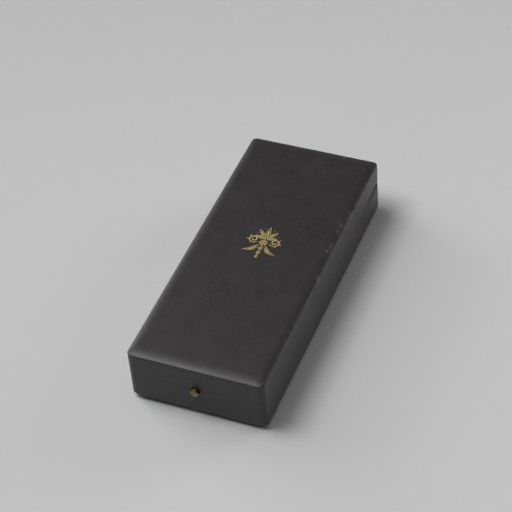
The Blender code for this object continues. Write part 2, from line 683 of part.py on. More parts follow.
def strip_shape(left, right, joined=False):
    """A flat gilt shape between two rails of points, as thick as the leaf."""
    low = CROWN_TOP + GILT_LIFT
    high = low + GILT_THICKNESS
    sections = []
    for one, other in zip(left, right):
        corners = ((one, low), (other, low), (other, high), (one, high))
        sections.append([gilt_point(*place, height) for place, height in corners])
    return loft(sections, joined)


def stroke_shape(path, widths):
    """A flat stroke along a path of (across, along) points, with its width at each point."""
    left, right = [], []
    for number, (point, width) in enumerate(zip(path, widths)):
        before, after = path[max(number - 1, 0)], path[min(number + 1, len(path) - 1)]
        direction = (Vector(after) - Vector(before)).normalized()
        side = Vector((-direction.y, direction.x)) * width / 2
        left.append(Vector(point) + side)
        right.append(Vector(point) - side)
    return strip_shape(left, right)


def tapered(width, share):
    """A width that swells from one tip to the other."""
    return GILT_TIP + (width - GILT_TIP) * math.sin(math.pi * share) ** TAPER_POWER


def rosette():
    """A ring of petals round an open eye."""
    eye, petals = [], []
    steps = ROSETTE_PETALS * PETAL_STEPS
    for step in range(steps):
        angle = math.tau * step / steps
        radius = ROSETTE_RADIUS + ROSETTE_PETAL * math.cos(ROSETTE_PETALS * angle)
        eye.append((ROSETTE_EYE * math.cos(angle), ROSETTE_EYE * math.sin(angle)))
        petals.append((radius * math.cos(angle), radius * math.sin(angle)))
    return strip_shape(eye, petals, joined=True)


def palmette():
    """Lobes fanned out above the rosette, the middle one the longest."""
    hub, lobes = [], []
    steps = PALMETTE_LOBES * LOBE_STEPS
    for step in range(steps + 1):
        turn = 2 * step / steps - 1
        angle = PALMETTE_SPREAD * turn
        swell = abs(math.cos(math.pi / 2 * PALMETTE_LOBES * turn))
        lobe = PALMETTE_VALLEY_SHARE + (1 - PALMETTE_VALLEY_SHARE) * swell
        lean = PALMETTE_SIDE_SHARE + (1 - PALMETTE_SIDE_SHARE) * math.cos(angle)
        reach = PALMETTE_REACH * lobe * lean
        hub.append((GILT_TIP * math.sin(angle), PALMETTE_FOOT + GILT_TIP * math.cos(angle)))
        lobes.append((reach * math.sin(angle), PALMETTE_FOOT + reach * math.cos(angle)))
    return strip_shape(hub, lobes)


def pendant():
    """Shrinking drops in a row below the rosette."""
    path, widths = [], []
    for step in range(GILT_STEPS + 1):
        share = step / GILT_STEPS
        path.append((0, -ROSETTE_RADIUS - ROSETTE_PETAL - FIT - PENDANT_LENGTH * share))
        swell = abs(math.sin(PENDANT_DROPS * math.pi * share)) * (1 - PENDANT_FADE_SHARE * share)
        widths.append(2 * GILT_TIP + (PENDANT_WIDTH - 2 * GILT_TIP) * swell)
    return stroke_shape(path, widths)


def scroll(side):
    """A stroke that winds inwards beside the rosette."""
    path, widths = [], []
    for step in range(GILT_STEPS + 1):
        share = step / GILT_STEPS
        angle = SCROLL_START + SCROLL_TURN * share
        radius = SCROLL_RADIUS * (1 - SCROLL_WIND_SHARE * share)
        across = SCROLL_REACH + radius * math.cos(angle)
        path.append((side * across, SCROLL_RADIUS / 2 + radius * math.sin(angle)))
        taper_share = SCROLL_TIP_SHARE + (SCROLL_END_SHARE - SCROLL_TIP_SHARE) * share
        widths.append(tapered(SCROLL_WIDTH, taper_share))
    return stroke_shape(path, widths)


def leaf(side):
    """A bent leaf that slants away below the scroll."""
    path, widths = [], []
    for step in range(GILT_STEPS // 2 + 1):
        share = 2 * step / GILT_STEPS
        bow = LEAF_BEND * math.sin(math.pi * share)
        across = ROSETTE_RADIUS + LEAF_LENGTH * share * math.cos(LEAF_SLANT) - bow * math.sin(LEAF_SLANT)
        along = -ROSETTE_RADIUS - LEAF_LENGTH * share * math.sin(LEAF_SLANT) - bow * math.cos(LEAF_SLANT)
        path.append((side * across, along))
        widths.append(tapered(LEAF_WIDTH, share))
    return stroke_shape(path, widths)


add_piece("gilt_rosette", rosette(), GOLD_LEAF, lid, smooth=False)
add_piece("gilt_palmette", palmette(), GOLD_LEAF, lid, smooth=False)
add_piece("gilt_pendant", pendant(), GOLD_LEAF, lid, smooth=False)
for side, name in ((-1, "left"), (1, "right")):
    add_piece(f"gilt_scroll_{name}", scroll(side), GOLD_LEAF, lid, smooth=False)
    add_piece(f"gilt_leaf_{name}", leaf(side), GOLD_LEAF, lid, smooth=False)

# Shading that follows the large faces, so that flats beside roundings stay flat to the eye
for piece in (base_leather, lid_leather):
    even = piece.modifiers.new("even shading", "WEIGHTED_NORMAL")
    even.keep_sharp = True
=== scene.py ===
# %% [markdown]
# # A leather presentation case
#
# This lesson dresses a finished CAD model of a long, flat presentation case. The wooden box, its
# hinges and its catch come from the CAD files. The lesson adds what they don't hold: fine leather
# skins, gilding, velvet, silk, and the light and camera of a small studio. Each cell can be run in
# turn, from the top down.

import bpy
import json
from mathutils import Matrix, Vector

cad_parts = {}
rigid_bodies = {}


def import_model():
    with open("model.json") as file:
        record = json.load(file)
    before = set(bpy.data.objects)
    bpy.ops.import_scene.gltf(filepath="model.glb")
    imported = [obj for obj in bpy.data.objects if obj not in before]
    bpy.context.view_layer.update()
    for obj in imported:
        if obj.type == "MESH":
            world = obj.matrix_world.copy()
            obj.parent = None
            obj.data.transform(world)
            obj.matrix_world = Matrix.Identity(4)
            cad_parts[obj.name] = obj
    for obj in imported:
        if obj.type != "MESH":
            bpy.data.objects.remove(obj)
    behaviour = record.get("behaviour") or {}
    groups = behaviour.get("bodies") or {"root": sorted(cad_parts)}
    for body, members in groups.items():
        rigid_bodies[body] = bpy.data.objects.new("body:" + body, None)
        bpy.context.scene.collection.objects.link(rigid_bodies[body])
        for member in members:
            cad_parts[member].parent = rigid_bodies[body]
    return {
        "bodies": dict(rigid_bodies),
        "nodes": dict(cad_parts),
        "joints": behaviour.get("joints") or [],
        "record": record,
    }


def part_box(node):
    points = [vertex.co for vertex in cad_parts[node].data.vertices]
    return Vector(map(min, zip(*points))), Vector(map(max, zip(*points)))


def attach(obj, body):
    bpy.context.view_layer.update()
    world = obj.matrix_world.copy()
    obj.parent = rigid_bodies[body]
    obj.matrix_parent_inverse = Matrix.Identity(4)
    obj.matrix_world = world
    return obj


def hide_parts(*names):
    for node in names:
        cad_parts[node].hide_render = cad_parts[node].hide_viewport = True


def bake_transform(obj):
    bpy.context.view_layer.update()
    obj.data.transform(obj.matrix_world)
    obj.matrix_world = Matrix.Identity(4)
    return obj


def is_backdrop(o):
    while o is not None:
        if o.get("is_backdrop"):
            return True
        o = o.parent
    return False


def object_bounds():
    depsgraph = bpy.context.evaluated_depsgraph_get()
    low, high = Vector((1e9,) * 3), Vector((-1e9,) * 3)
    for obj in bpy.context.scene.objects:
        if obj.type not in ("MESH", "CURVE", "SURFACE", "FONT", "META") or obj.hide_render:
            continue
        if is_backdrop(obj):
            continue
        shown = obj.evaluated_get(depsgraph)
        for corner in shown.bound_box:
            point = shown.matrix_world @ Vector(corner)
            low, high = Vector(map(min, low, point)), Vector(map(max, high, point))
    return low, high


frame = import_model()
cad_low, cad_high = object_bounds()
print("case in metres:", [round(high - low, 4) for low, high in zip(cad_low, cad_high)])

# %% [markdown]
# ## Camera
#
# The case is seen from above its right front corner, through a long lens that hardly narrows it
# towards the back. The camera could be aimed with a constraint, but a written place and three
# angles are easier to repeat. The last angle tips the camera about its own line of sight, because
# the picture was taken slightly askew.

# %% Camera
import math

import bpy
from mathutils import Matrix, Vector, noise

CAMERA_PLACE = (0.3317, -0.7121, 0.7879)
CAMERA_TURN = math.radians(25.07)
CAMERA_DIP = math.radians(43.79)
CAMERA_TIP = math.radians(5.16)
LENS = 127.7
SENSOR = 36.0


def aimed(place, turn, dip, tip):
    """A matrix that looks along its -Z, turned from +Y, dipped, and tipped to the right."""
    forward = Vector((-math.sin(turn) * math.cos(dip),
                      math.cos(turn) * math.cos(dip),
                      -math.sin(dip)))
    level = Vector((math.cos(turn), math.sin(turn), 0))
    above = level.cross(forward)
    right = level * math.cos(tip) - above * math.sin(tip)
    up = above * math.cos(tip) + level * math.sin(tip)
    turned = Matrix((right, up, -forward)).transposed().to_4x4()
    return Matrix.Translation(place) @ turned


camera = bpy.data.objects.new("camera", bpy.data.cameras.new("camera"))
camera.data.lens = LENS
camera.data.sensor_width = SENSOR
camera.data.clip_start = 0.01
camera.matrix_world = aimed(CAMERA_PLACE, CAMERA_TURN, CAMERA_DIP, CAMERA_TIP)
bpy.context.scene.collection.objects.link(camera)
bpy.context.scene.camera = camera
bpy.context.scene.view_settings.view_transform = "Standard"
camera_view = camera.matrix_world.to_3x3() @ Vector((0, 0, -1))
print("camera looks along", [round(part, 3) for part in camera_view])

# %% [markdown]
# ## Floor and light
#
# Black leather shows its shape by what it mirrors, so the light matters as much as the mesh. A soft
# panel hangs close by, to the left and a little in front. It throws the short shadow to the right,
# and the front edge of the crowned lid mirrors it as a pale band. Two wide weak panels fill in the
# rest, and four low cards brighten the rolled edges, the right side and the foot in front. The
# panels can't be seen themselves, only what they light.

# %% Floor and light
import bmesh

FLOOR_GREY = (0.583, 0.589, 0.595)
FLOOR_HALF = 4.0
FLOOR_ROUGHNESS = 0.9
WORLD_LIGHT = 0.01
PANELS = {
    "key_panel": ((-0.55, -0.20, 1.31), 0.62, 10.0, (1.0, 0.995, 0.99)),
    "side_panel": ((-2.3, 0.2, 2.0), 2.4, 28.5, (1.0, 0.995, 0.99)),
    "overhead_panel": ((0.0, 0.0, 3.2), 3.0, 19.0, (1.0, 0.99, 1.0)),
    "left_card": ((-1.0, 0.35, 0.28), 0.5, 3.1, (1.0, 0.99, 1.0)),
    "left_back_card": ((-2.0, 1.5, 0.6), 1.3, 5.8, (1.0, 0.99, 1.0)),
    "right_back_card": ((1.6, 1.9, 0.6), 1.3, 22.5, (1.0, 0.98, 0.93)),
    "front_card": ((-0.5, -1.6, 0.42), 0.8, 1.6, (1.0, 0.97, 0.88)),
}
SHARP = math.radians(35)


def new_finish(name, colour, roughness, metallic=0.0):
    """A material with one plain shader, to which nodes can be added."""
    material = bpy.data.materials.new(name)
    material.use_nodes = True
    shader = material.node_tree.nodes["Principled BSDF"]
    shader.inputs["Base Color"].default_value = (*colour, 1)
    shader.inputs["Roughness"].default_value = roughness
    shader.inputs["Metallic"].default_value = metallic
    return material


def new_object(name, shape, material, smooth=True):
    """Turn a bmesh into a named object that wears one material."""
    mesh = bpy.data.meshes.new(name)
    bmesh.ops.recalc_face_normals(shape, faces=shape.faces)
    shape.to_mesh(mesh)
    shape.free()
    if smooth:
        mesh.shade_smooth()
        mesh.set_sharp_from_angle(angle=SHARP)
    thing = bpy.data.objects.new(name, mesh)
    thing.data.materials.append(material)
    bpy.context.scene.collection.objects.link(thing)
    return thing


floor_shape = bmesh.new()
bmesh.ops.create_grid(floor_shape, x_segments=1, y_segments=1, size=FLOOR_HALF)
floor_paper = new_finish("floor_paper", FLOOR_GREY, FLOOR_ROUGHNESS)
floor = new_object("floor", floor_shape, floor_paper, smooth=False)
floor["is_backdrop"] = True

for name, (place, side, power, tint) in PANELS.items():
    lamp = bpy.data.objects.new(name, bpy.data.lights.new(name, "AREA"))
    lamp.data.shape = "SQUARE"
    lamp.data.size = side
    lamp.data.energy = power
    lamp.data.color = tint
    lamp.location = place
    lamp.rotation_euler = (-Vector(place)).to_track_quat("-Z", "Y").to_euler()
    lamp.visible_camera = False
    bpy.context.scene.collection.objects.link(lamp)

world = bpy.data.worlds.new("studio")
world.use_nodes = True
world.node_tree.nodes["Background"].inputs["Color"].default_value = (1, 1, 1, 1)
world.node_tree.nodes["Background"].inputs["Strength"].default_value = WORLD_LIGHT
bpy.context.scene.world = world
print("panels:", ", ".join(PANELS))

# %% [markdown]
# ## Finishes
#
# Every finish here is made by nodes: a noise or cell pattern, read in the piece's own coordinates
# so that it stays put when the lid opens, drives colour, roughness and relief. Pictures of leather
# or cloth could be used instead, but a pattern has no seams and its scale is known in metres.

# %% Helpers for finishes
def add_node(material, kind, **values):
    """Add a node and set its inputs, or its own settings where no input has that name."""
    node = material.node_tree.nodes.new(kind)
    for key, value in values.items():
        label = key.replace("_", " ").title()
        if label in node.inputs:
            node.inputs[label].default_value = value
        else:
            setattr(node, key, value)
    return node


def pattern(material, kind, scale, stretch=(1, 1, 1), **values):
    """A pattern in the piece's own coordinates, with its scale in cycles per metre."""
    links = material.node_tree.links
    place = add_node(material, "ShaderNodeTexCoord")
    mapping = add_node(material, "ShaderNodeMapping", scale=stretch)
    texture = add_node(material, kind, scale=scale, **values)
    links.new(place.outputs["Object"], mapping.inputs["Vector"])
    links.new(mapping.outputs["Vector"], texture.inputs["Vector"])
    return texture.outputs["Distance" if "Voronoi" in kind else "Fac"]


def spread(material, source, low, high, start=0.3, end=0.7):
    """Map a stretch of a pattern to a range of values."""
    node = add_node(material, "ShaderNodeMapRange")
    for label, value in (("From Min", start), ("From Max", end), ("To Min", low), ("To Max", high)):
        node.inputs[label].default_value = value
    material.node_tree.links.new(source, node.inputs["Value"])
    return node.outputs["Result"]


def combined(material, one, other, operation="MULTIPLY"):
    """Two patterns joined point by point, as a product unless another operation is named."""
    node = add_node(material, "ShaderNodeMath", operation=operation)
    for socket, source in zip(node.inputs, (one, other)):
        material.node_tree.links.new(source, socket)
    return node.outputs["Value"]


def tinted(material, share, one, other):
    """A colour between two others, written out or made by nodes, by a share that varies."""
    node = add_node(material, "ShaderNodeMix", data_type="RGBA")
    material.node_tree.links.new(share, node.inputs[0])
    sockets = [socket for socket in node.inputs if socket.type == "RGBA"]
    for socket, colour in zip(sockets, (one, other)):
        if isinstance(colour, tuple):
            socket.default_value = (*colour, 1)
        else:
            material.node_tree.links.new(colour, socket)
    return next(socket for socket in node.outputs if socket.type == "RGBA")


def relief(material, height, depth, below=None):
    """Raise the surface by a pattern, by depth in metres where the pattern goes from 0 to 1."""
    node = add_node(material, "ShaderNodeBump", distance=depth)
    material.node_tree.links.new(height, node.inputs["Height"])
    if below is not None:
        material.node_tree.links.new(below, node.inputs["Normal"])
    return node.outputs["Normal"]


def dress(material, colour=None, roughness=None, normal=None, **plain):
    """Lead patterns into the shader, and set plain values on its own sockets."""
    shader = material.node_tree.nodes["Principled BSDF"]
    for label, source in (("Base Color", colour), ("Roughness", roughness), ("Normal", normal)):
        if source is not None:
            material.node_tree.links.new(source, shader.inputs[label])
    for key, value in plain.items():
        shader.inputs[key.replace("_", " ").title()].default_value = value
    return material


NOISE, CELLS, WAVES = "ShaderNodeTexNoise", "ShaderNodeTexVoronoi", "ShaderNodeTexWave"
print("patterns at hand:", NOISE, CELLS, WAVES)

# %% [markdown]
# ### Painted light on the floor
#
# The floor is painted darker on the left and paler towards the right, as painted light for the
# studio light that falls off across it. A ramp of grey along one direction is enough for that.

# %% Painted light on the floor
LIGHT_FALL_DIRECTION = (0.972, -0.234, 0.0)
LIGHT_FALL_REACH = 0.35
FLOOR_SHADED = (0.440, 0.444, 0.448)
FLOOR_LIT = (0.726, 0.734, 0.743)

# Painted light: the floor's grey is darker on the left and paler on the right.
floor_place = add_node(floor_paper, "ShaderNodeTexCoord")
along = add_node(floor_paper, "ShaderNodeVectorMath", operation="DOT_PRODUCT")
along.inputs[1].default_value = LIGHT_FALL_DIRECTION
floor_paper.node_tree.links.new(floor_place.outputs["Object"], along.inputs[0])
painted_light_share = spread(floor_paper, along.outputs["Value"], 0.0, 1.0, -LIGHT_FALL_REACH, LIGHT_FALL_REACH)
dress(floor_paper, tinted(floor_paper, painted_light_share, FLOOR_SHADED, FLOOR_LIT))
print("the floor's grey goes from", FLOOR_SHADED[0], "to", FLOOR_LIT[0])

# %% [markdown]
# ## Black leather
#
# The skin is thin goatskin or calf, dyed black and smoothed, so its grain is fine: cells of about
# half a millimetre with creases between them. Handling has polished it unevenly and has rubbed some
# edges pale. Two values are written on the mesh later: one for wear and painted light, which a
# noise breaks into small pale marks, and dryness, which takes off the polish.

# %% Black leather
LEATHER_DARK = (0.0172, 0.0143, 0.0163)
LEATHER_LIGHT = (0.0246, 0.0208, 0.0231)
# Pale leather for rubbed places, also used as painted light on the foot at the ends.
LEATHER_WORN_AND_LIT = (0.150, 0.145, 0.132)
GRAIN_SCALE = 2100.0
GRAIN_SOFTNESS = 0.4
CREASE_SCALE = 5200.0
MOTTLE_SCALE = 55.0
SPOT_SCALE = 260.0
SPOT_SHARE = 0.45
MARK_SCALE = 620.0
MARK_START, MARK_END = 0.47, 0.60
GRAIN_DEPTH = 0.00006
CREASE_DEPTH = 0.00003
POLISHED, UNPOLISHED = 0.38, 0.44
GRAIN_POLISH = (0.96, 1.05)
DRY_ROUGHNESS = 0.26
LEATHER_SHEEN = {"sheen_weight": 0.12, "sheen_roughness": 0.45, "sheen_tint": (1.0, 0.97, 0.92, 1)}


def leather_grain(material):
    """The cells of the grain, which show in the leather and through the gold on it."""
    return pattern(material, CELLS, GRAIN_SCALE, feature="SMOOTH_F1", smoothness=GRAIN_SOFTNESS)


def black_leather():
    """Fine-grained black leather with polished and rubbed places; its pale marks also serve as
    painted light.
    """
    leather = new_finish("black_leather", LEATHER_DARK, 0.5)
    clouds = pattern(leather, NOISE, MOTTLE_SCALE, detail=5.0)
    clouds = spread(leather, clouds, 0.0, 1 - SPOT_SHARE)
    spots = pattern(leather, NOISE, SPOT_SCALE, detail=3.0)
    spots = spread(leather, spots, 0.0, SPOT_SHARE)
    mottle = combined(leather, clouds, spots, "ADD")
    grain = leather_grain(leather)
    creases = pattern(leather, NOISE, CREASE_SCALE, detail=2.0)
    marks = pattern(leather, NOISE, MARK_SCALE, detail=4.0)
    marks = spread(leather, marks, 0.0, 1.0, MARK_START, MARK_END)
    # One value on the mesh carries wear and painted light; a noise breaks both into pale marks.
    wear_and_light = add_node(leather, "ShaderNodeAttribute", attribute_name="wear_and_light").outputs["Fac"]
    worn_and_lit = combined(leather, marks, wear_and_light)
    dyed = tinted(leather, mottle, LEATHER_DARK, LEATHER_LIGHT)
    colour = tinted(leather, worn_and_lit, dyed, LEATHER_WORN_AND_LIT)
    polish = spread(leather, mottle, POLISHED, UNPOLISHED, 0.0, 1.0)
    polish = combined(leather, polish, spread(leather, grain, *GRAIN_POLISH, 0.0, 0.5))
    dry = add_node(leather, "ShaderNodeAttribute", attribute_name="dryness").outputs["Fac"]
    polish = combined(leather, polish, spread(leather, dry, 0.0, DRY_ROUGHNESS, 0.0, 1.0), "ADD")
    normal = relief(leather, grain, GRAIN_DEPTH)
    normal = relief(leather, creases, CREASE_DEPTH, normal)
    return dress(leather, colour, polish, normal, **LEATHER_SHEEN)


leather = black_leather()
print("leather grain in millimetres:", round(1000 / GRAIN_SCALE, 2))

# %% [markdown]
# ## Rings and skins
#
# Leather is glued over the wood, round the edges and in over the rims. Each skin is a closed shell:
# one section of the wall, swept round the plan of the case. A subdivision surface could round a
# plain box, but it can't keep a radius of less than a millimetre beside one of three. So the
# section is drawn point by point, and every point becomes a ring that follows the rounded
# rectangle.

# %% Rings and lofts
CASE_LENGTH = 0.2000
CASE_WIDTH = 0.0845
PLAN_RADIUS = 0.0037
INNER_CORNER = 0.0003
CORNER_STEPS = 8
POINTS_ALONG_X = 42
POINTS_ALONG_Y = 124


def ring(inset_x, inset_y, corner, height):
    """Points of the case's plan, moved inwards, from the front right corner round by the back."""
    half_x, half_y = CASE_WIDTH / 2 - inset_x, CASE_LENGTH / 2 - inset_y
    points = []
    for quarter, (side_x, side_y) in enumerate(((1, -1), (1, 1), (-1, 1), (-1, -1))):
        middle = Vector((side_x * (half_x - corner), side_y * (half_y - corner), height))
        for step in range(CORNER_STEPS + 1):
            angle = math.radians(90 * (quarter - 1 + step / CORNER_STEPS))
            outward = Vector((math.cos(angle), math.sin(angle), 0))
            points.append(middle + corner * outward)
        forward = Vector((-outward.y, outward.x, 0))
        length = 2 * ((half_y if quarter % 2 == 0 else half_x) - corner)
        count = POINTS_ALONG_Y if quarter % 2 == 0 else POINTS_ALONG_X
        start = points[-1]
        points += [start + forward * length * step / count for step in range(1, count)]
    return points


def case_ring(inset, height):
    """The plan of the case, moved inwards by the same distance all round."""
    return ring(inset, inset, max(PLAN_RADIUS - inset, INNER_CORNER), height)


def join_rows(shape, one, other):
    """Add a closed band of faces between two rows with equal counts of points."""
    for here in range(len(one)):
        after = (here + 1) % len(one)
        shape.faces.new((one[here], one[after], other[after], other[here]))


def loft(rings, joined=False):
    """Skin rings of equal counts. The ends are capped, or the last ring joins the first."""
    shape = bmesh.new()
    rows = [[shape.verts.new(point) for point in points] for points in rings]
    pairs = list(zip(rows, rows[1:]))
    if joined:
        pairs.append((rows[-1], rows[0]))
    else:
        bmesh.ops.triangulate(shape, faces=[shape.faces.new(rows[0]), shape.faces.new(rows[-1])])
    for one, other in pairs:
        join_rows(shape, one, other)
    return shape


def arc(inset, height, radius, start, stop, steps):
    """Points (inset, height) of an arc: outermost at 0 degrees, highest at 90."""
    angles = [math.radians(start + (stop - start) * step / steps) for step in range(steps + 1)]
    return [(inset - radius * math.cos(angle), height + radius * math.sin(angle))
            for angle in angles]


def line(start, stop, shares):
    """Points on a straight stretch of the section, between its ends."""
    return [tuple(a + (b - a) * share for a, b in zip(start, stop)) for share in shares]


def creased(points, drop):
    """A ring whose corners have a small fold, as leather has where it turns in."""
    corner_start = 0
    for quarter in range(4):
        points[corner_start + CORNER_STEPS // 2].z += drop
        corner_start += CORNER_STEPS + (POINTS_ALONG_Y if quarter % 2 == 0 else POINTS_ALONG_X)
    return points


print("points in a ring:", len(case_ring(0, 0)))

# %% [markdown]
# ## Skin of the base
#
# The lower skin starts under the bottom, where it is turned in, passes the foot, climbs the wall,
# turns over the rim and ends inside it. The foot is round along the sides and a steep bevel at the
# ends, so its rings are made by a function of their own. The corners of the rim carry a mitred
# fold. Towards the hinges the two rims part in a shallow groove.

# %% Skin of the base
EDGE_HEIGHT = 0.0365
SEAM_HEIGHT = 0.0217
RIM_GAP = 0.00003
BASE_RIM = SEAM_HEIGHT - RIM_GAP / 2
LID_RIM = SEAM_HEIGHT + RIM_GAP / 2
LEATHER = 0.0008
LIFT = 0.0002
TURN_IN = 0.0090
FOOT_RADIUS = 0.0030
RIM_RADIUS = 0.00006
RIM_INSET = 0.0056
RIM_STEPS = 4
FOLD = 0.00012
FOOT_STEPS = 12
SIDE_FOOT = 0.0025
END_INSET = 0.0018
END_RISE = 0.0050
FOOT_CORNER = 0.0025
WALL_SHARES = (0.14, 0.25, 0.4, 0.6, 0.8, 0.88, 0.92, 0.95, 0.97, 0.985, 0.993)
FLAT_SHARES = (0.2, 0.5, 0.8)


def foot_ring(share, depth):
    """A ring of the foot, at a depth under it: round at the sides, bevelled at the ends."""
    angle = math.radians(90 * share)
    side = SIDE_FOOT - (SIDE_FOOT - depth) * math.sin(angle)
    side_height = LIFT + SIDE_FOOT - (SIDE_FOOT - depth) * math.cos(angle)
    end = depth + END_INSET * (1 - share)
    end_height = LIFT + depth + (END_RISE - depth) * share
    corner = PLAN_RADIUS - depth + FOOT_CORNER * (1 - share)
    points = ring(side, end, corner, side_height)
    for point in points:
        beyond_x = max(abs(point.x) - CASE_WIDTH / 2 + side + corner, 0)
        beyond_y = max(abs(point.y) - CASE_LENGTH / 2 + end + corner, 0)
        point.z += (end_height - side_height) * math.atan2(beyond_y, beyond_x) / (math.pi / 2)
    return points


def base_skin_rings():
    """Rings of the base's skin, outside first and then back along its inner face."""
    shares = [step / FOOT_STEPS for step in range(FOOT_STEPS + 1)]
    under = [(TURN_IN, LIFT)] + line((TURN_IN, LIFT), (FOOT_RADIUS, LIFT), FLAT_SHARES)
    rim_arc = arc(RIM_RADIUS, BASE_RIM - RIM_RADIUS, RIM_RADIUS, 0, 90, RIM_STEPS)
    wall = line((0, LIFT + FOOT_RADIUS), rim_arc[0], WALL_SHARES) + rim_arc
    rim = line(rim_arc[-1], (RIM_INSET, BASE_RIM), FLAT_SHARES) + [(RIM_INSET, BASE_RIM)]
    inside = ((RIM_INSET, BASE_RIM - LEATHER), (LEATHER, BASE_RIM - LEATHER))
    rings = [creased(case_ring(*place), FOLD) for place in under]
    rings += [foot_ring(share, 0.0) for share in shares]
    rings += [case_ring(*place) for place in wall]
    rings += [creased(case_ring(*place), -FOLD) for place in rim]
    rings += [case_ring(*place) for place in inside]
    rings += [foot_ring(share, LEATHER) for share in reversed(shares)]
    return rings + [case_ring(TURN_IN, LIFT + LEATHER)]


GROOVE_DEPTH = 0.0009
GROOVE_REACH = 0.0034
GROOVE_SHARPNESS = 2
BASE_PARTING = 0.00015
LID_PARTING = 0.00010
GROOVE_START = 0.050
GROOVE_FULL = 0.085
GROOVE_END = 0.094


def towards_hinges(y):
    """0 in the front part of the case, rising to 1 near the hinges."""
    return min(max((y - GROOVE_START) / (GROOVE_FULL - GROOVE_START), 0), 1)


def grooved(shape):
    """Let the rims part towards the hinges, where the leather is pinched as the lid opens."""
    for vertex in shape.verts:
        side_gap = CASE_WIDTH / 2 - abs(vertex.co.x)
        end_gap = CASE_LENGTH / 2 - abs(vertex.co.y)
        above = vertex.co.z - SEAM_HEIGHT
        near = 1 - abs(above) / GROOVE_REACH
        share = towards_hinges(vertex.co.y)
        if near <= 0 or share <= 0 or min(side_gap, end_gap) > LEATHER / 2:
            continue
        ease = share * share * (3 - 2 * share)
        ease *= min(1, (CASE_LENGTH / 2 - vertex.co.y) / (CASE_LENGTH / 2 - GROOVE_END))
        depth = GROOVE_DEPTH * ease * near ** GROOVE_SHARPNESS
        vertex.co.z += near * near * ease * (LID_PARTING if above > 0 else -BASE_PARTING)
        if side_gap < PLAN_RADIUS:
            vertex.co.x -= math.copysign(depth, vertex.co.x)
        if end_gap < PLAN_RADIUS:
            vertex.co.y -= depth
    return shape


base_skin = new_object("base_skin", grooved(loft(base_skin_rings(), joined=True)), leather)
print("base skin vertices:", len(base_skin.data.vertices))

# %% [markdown]
# ## Skin of the lid
#
# The lid is crowned: its top is flat in the middle and rolls down to an arris, over 7 mm at the
# long sides and over 10 mm at the ends. The arris is sharper along the sides than at the ends. The
# roll follows a power curve, as wet leather does when it is pressed over a shaped board. The flat
# gets a very shallow waviness, which real leather always has and which breaks up its shine.

# %% Skin of the lid
ARRIS_RADIUS = 0.0010
ARRIS_SIDE_SHARE = 0.45
CROWN_RISE = 0.0012
CROWN_ANGLE = math.radians(24)
CROWN_SIDE = 0.0074
CROWN_END = 0.0100
CROWN_CORNER = 0.0045
CROWN_POWER = 3.1
CROWN_STEPS = 18
CROWN_INNER_SHARES = (0.3, 0.62, 1.0)
ARRIS_STEPS = 6
CROWN_TOP = EDGE_HEIGHT - ARRIS_RADIUS * (1 - math.cos(CROWN_ANGLE)) + CROWN_RISE
MIDDLE_STEPS = 14
MIDDLE_HALF = 0.0008
TURN_UP = 0.0060
WAVE_DEPTH = 0.00005
WAVE_SCALE = 38.0


def crown_ring(share, drop=0.0):
    """A ring of the crowned top, from its edge at share 0 to its flat middle at share 1."""
    edge = ARRIS_RADIUS * (1 - math.sin(CROWN_ANGLE))
    inset_x = edge * ARRIS_SIDE_SHARE + share * (CROWN_SIDE - edge * ARRIS_SIDE_SHARE)
    inset_y = edge + share * (CROWN_END - edge)
    corner = PLAN_RADIUS - edge + share * (CROWN_CORNER - PLAN_RADIUS + edge)
    height = CROWN_TOP - CROWN_RISE * (1 - share) ** CROWN_POWER - drop
    return ring(inset_x, inset_y, corner, height)


def middle_ring(share):
    """A ring of the flat middle of the top, moved in from the end of the crown."""
    inward = (CASE_WIDTH / 2 - CROWN_SIDE - MIDDLE_HALF) * share
    corner = CROWN_CORNER + share * (INNER_CORNER - CROWN_CORNER)
    points = ring(CROWN_SIDE + inward, CROWN_END + inward, corner, CROWN_TOP)
    for point in points:
        point.z -= WAVE_DEPTH * share * (1 + noise.noise(point * WAVE_SCALE))
    return points


def arris_ring(inset, height):
    """A ring of the arris, which is sharper along the sides of the case than at its ends."""
    return ring(inset * ARRIS_SIDE_SHARE, inset, PLAN_RADIUS - inset, height)


def lid_skin_rings():
    """Rings of the lid's skin, from the middle of the top over the walls and back inside."""
    rings = [middle_ring(1 - step / MIDDLE_STEPS) for step in range(MIDDLE_STEPS)]
    rings += [crown_ring(1 - step / CROWN_STEPS) for step in range(CROWN_STEPS + 1)]
    arris_top = 90 - math.degrees(CROWN_ANGLE)
    arris = arc(ARRIS_RADIUS, EDGE_HEIGHT - ARRIS_RADIUS, ARRIS_RADIUS, arris_top, 0, ARRIS_STEPS)
    rim_arc = arc(RIM_RADIUS, LID_RIM + RIM_RADIUS, RIM_RADIUS, 0, -90, RIM_STEPS)
    wall = line(arris[-1], rim_arc[0], WALL_SHARES) + rim_arc
    rings += [arris_ring(*place) for place in arris[1:]]
    rings += [case_ring(*place) for place in wall]
    rim = line(rim_arc[-1], (RIM_INSET, LID_RIM), FLAT_SHARES) + [(RIM_INSET, LID_RIM)]
    rings += [creased(case_ring(*place), FOLD) for place in rim]
    inner, end_height = RIM_INSET - LEATHER, LID_RIM + TURN_UP
    inside = [(RIM_INSET, end_height), (inner, end_height), (inner, LID_RIM + LEATHER)]
    inside += [(LEATHER, LID_RIM + LEATHER), (LEATHER, EDGE_HEIGHT - LEATHER)]
    rings += [case_ring(*place) for place in inside]
    return rings + [crown_ring(share, LEATHER) for share in CROWN_INNER_SHARES]


lid_skin = new_object("lid_skin", grooved(loft(lid_skin_rings())), leather)
print("lid skin vertices:", len(lid_skin.data.vertices))

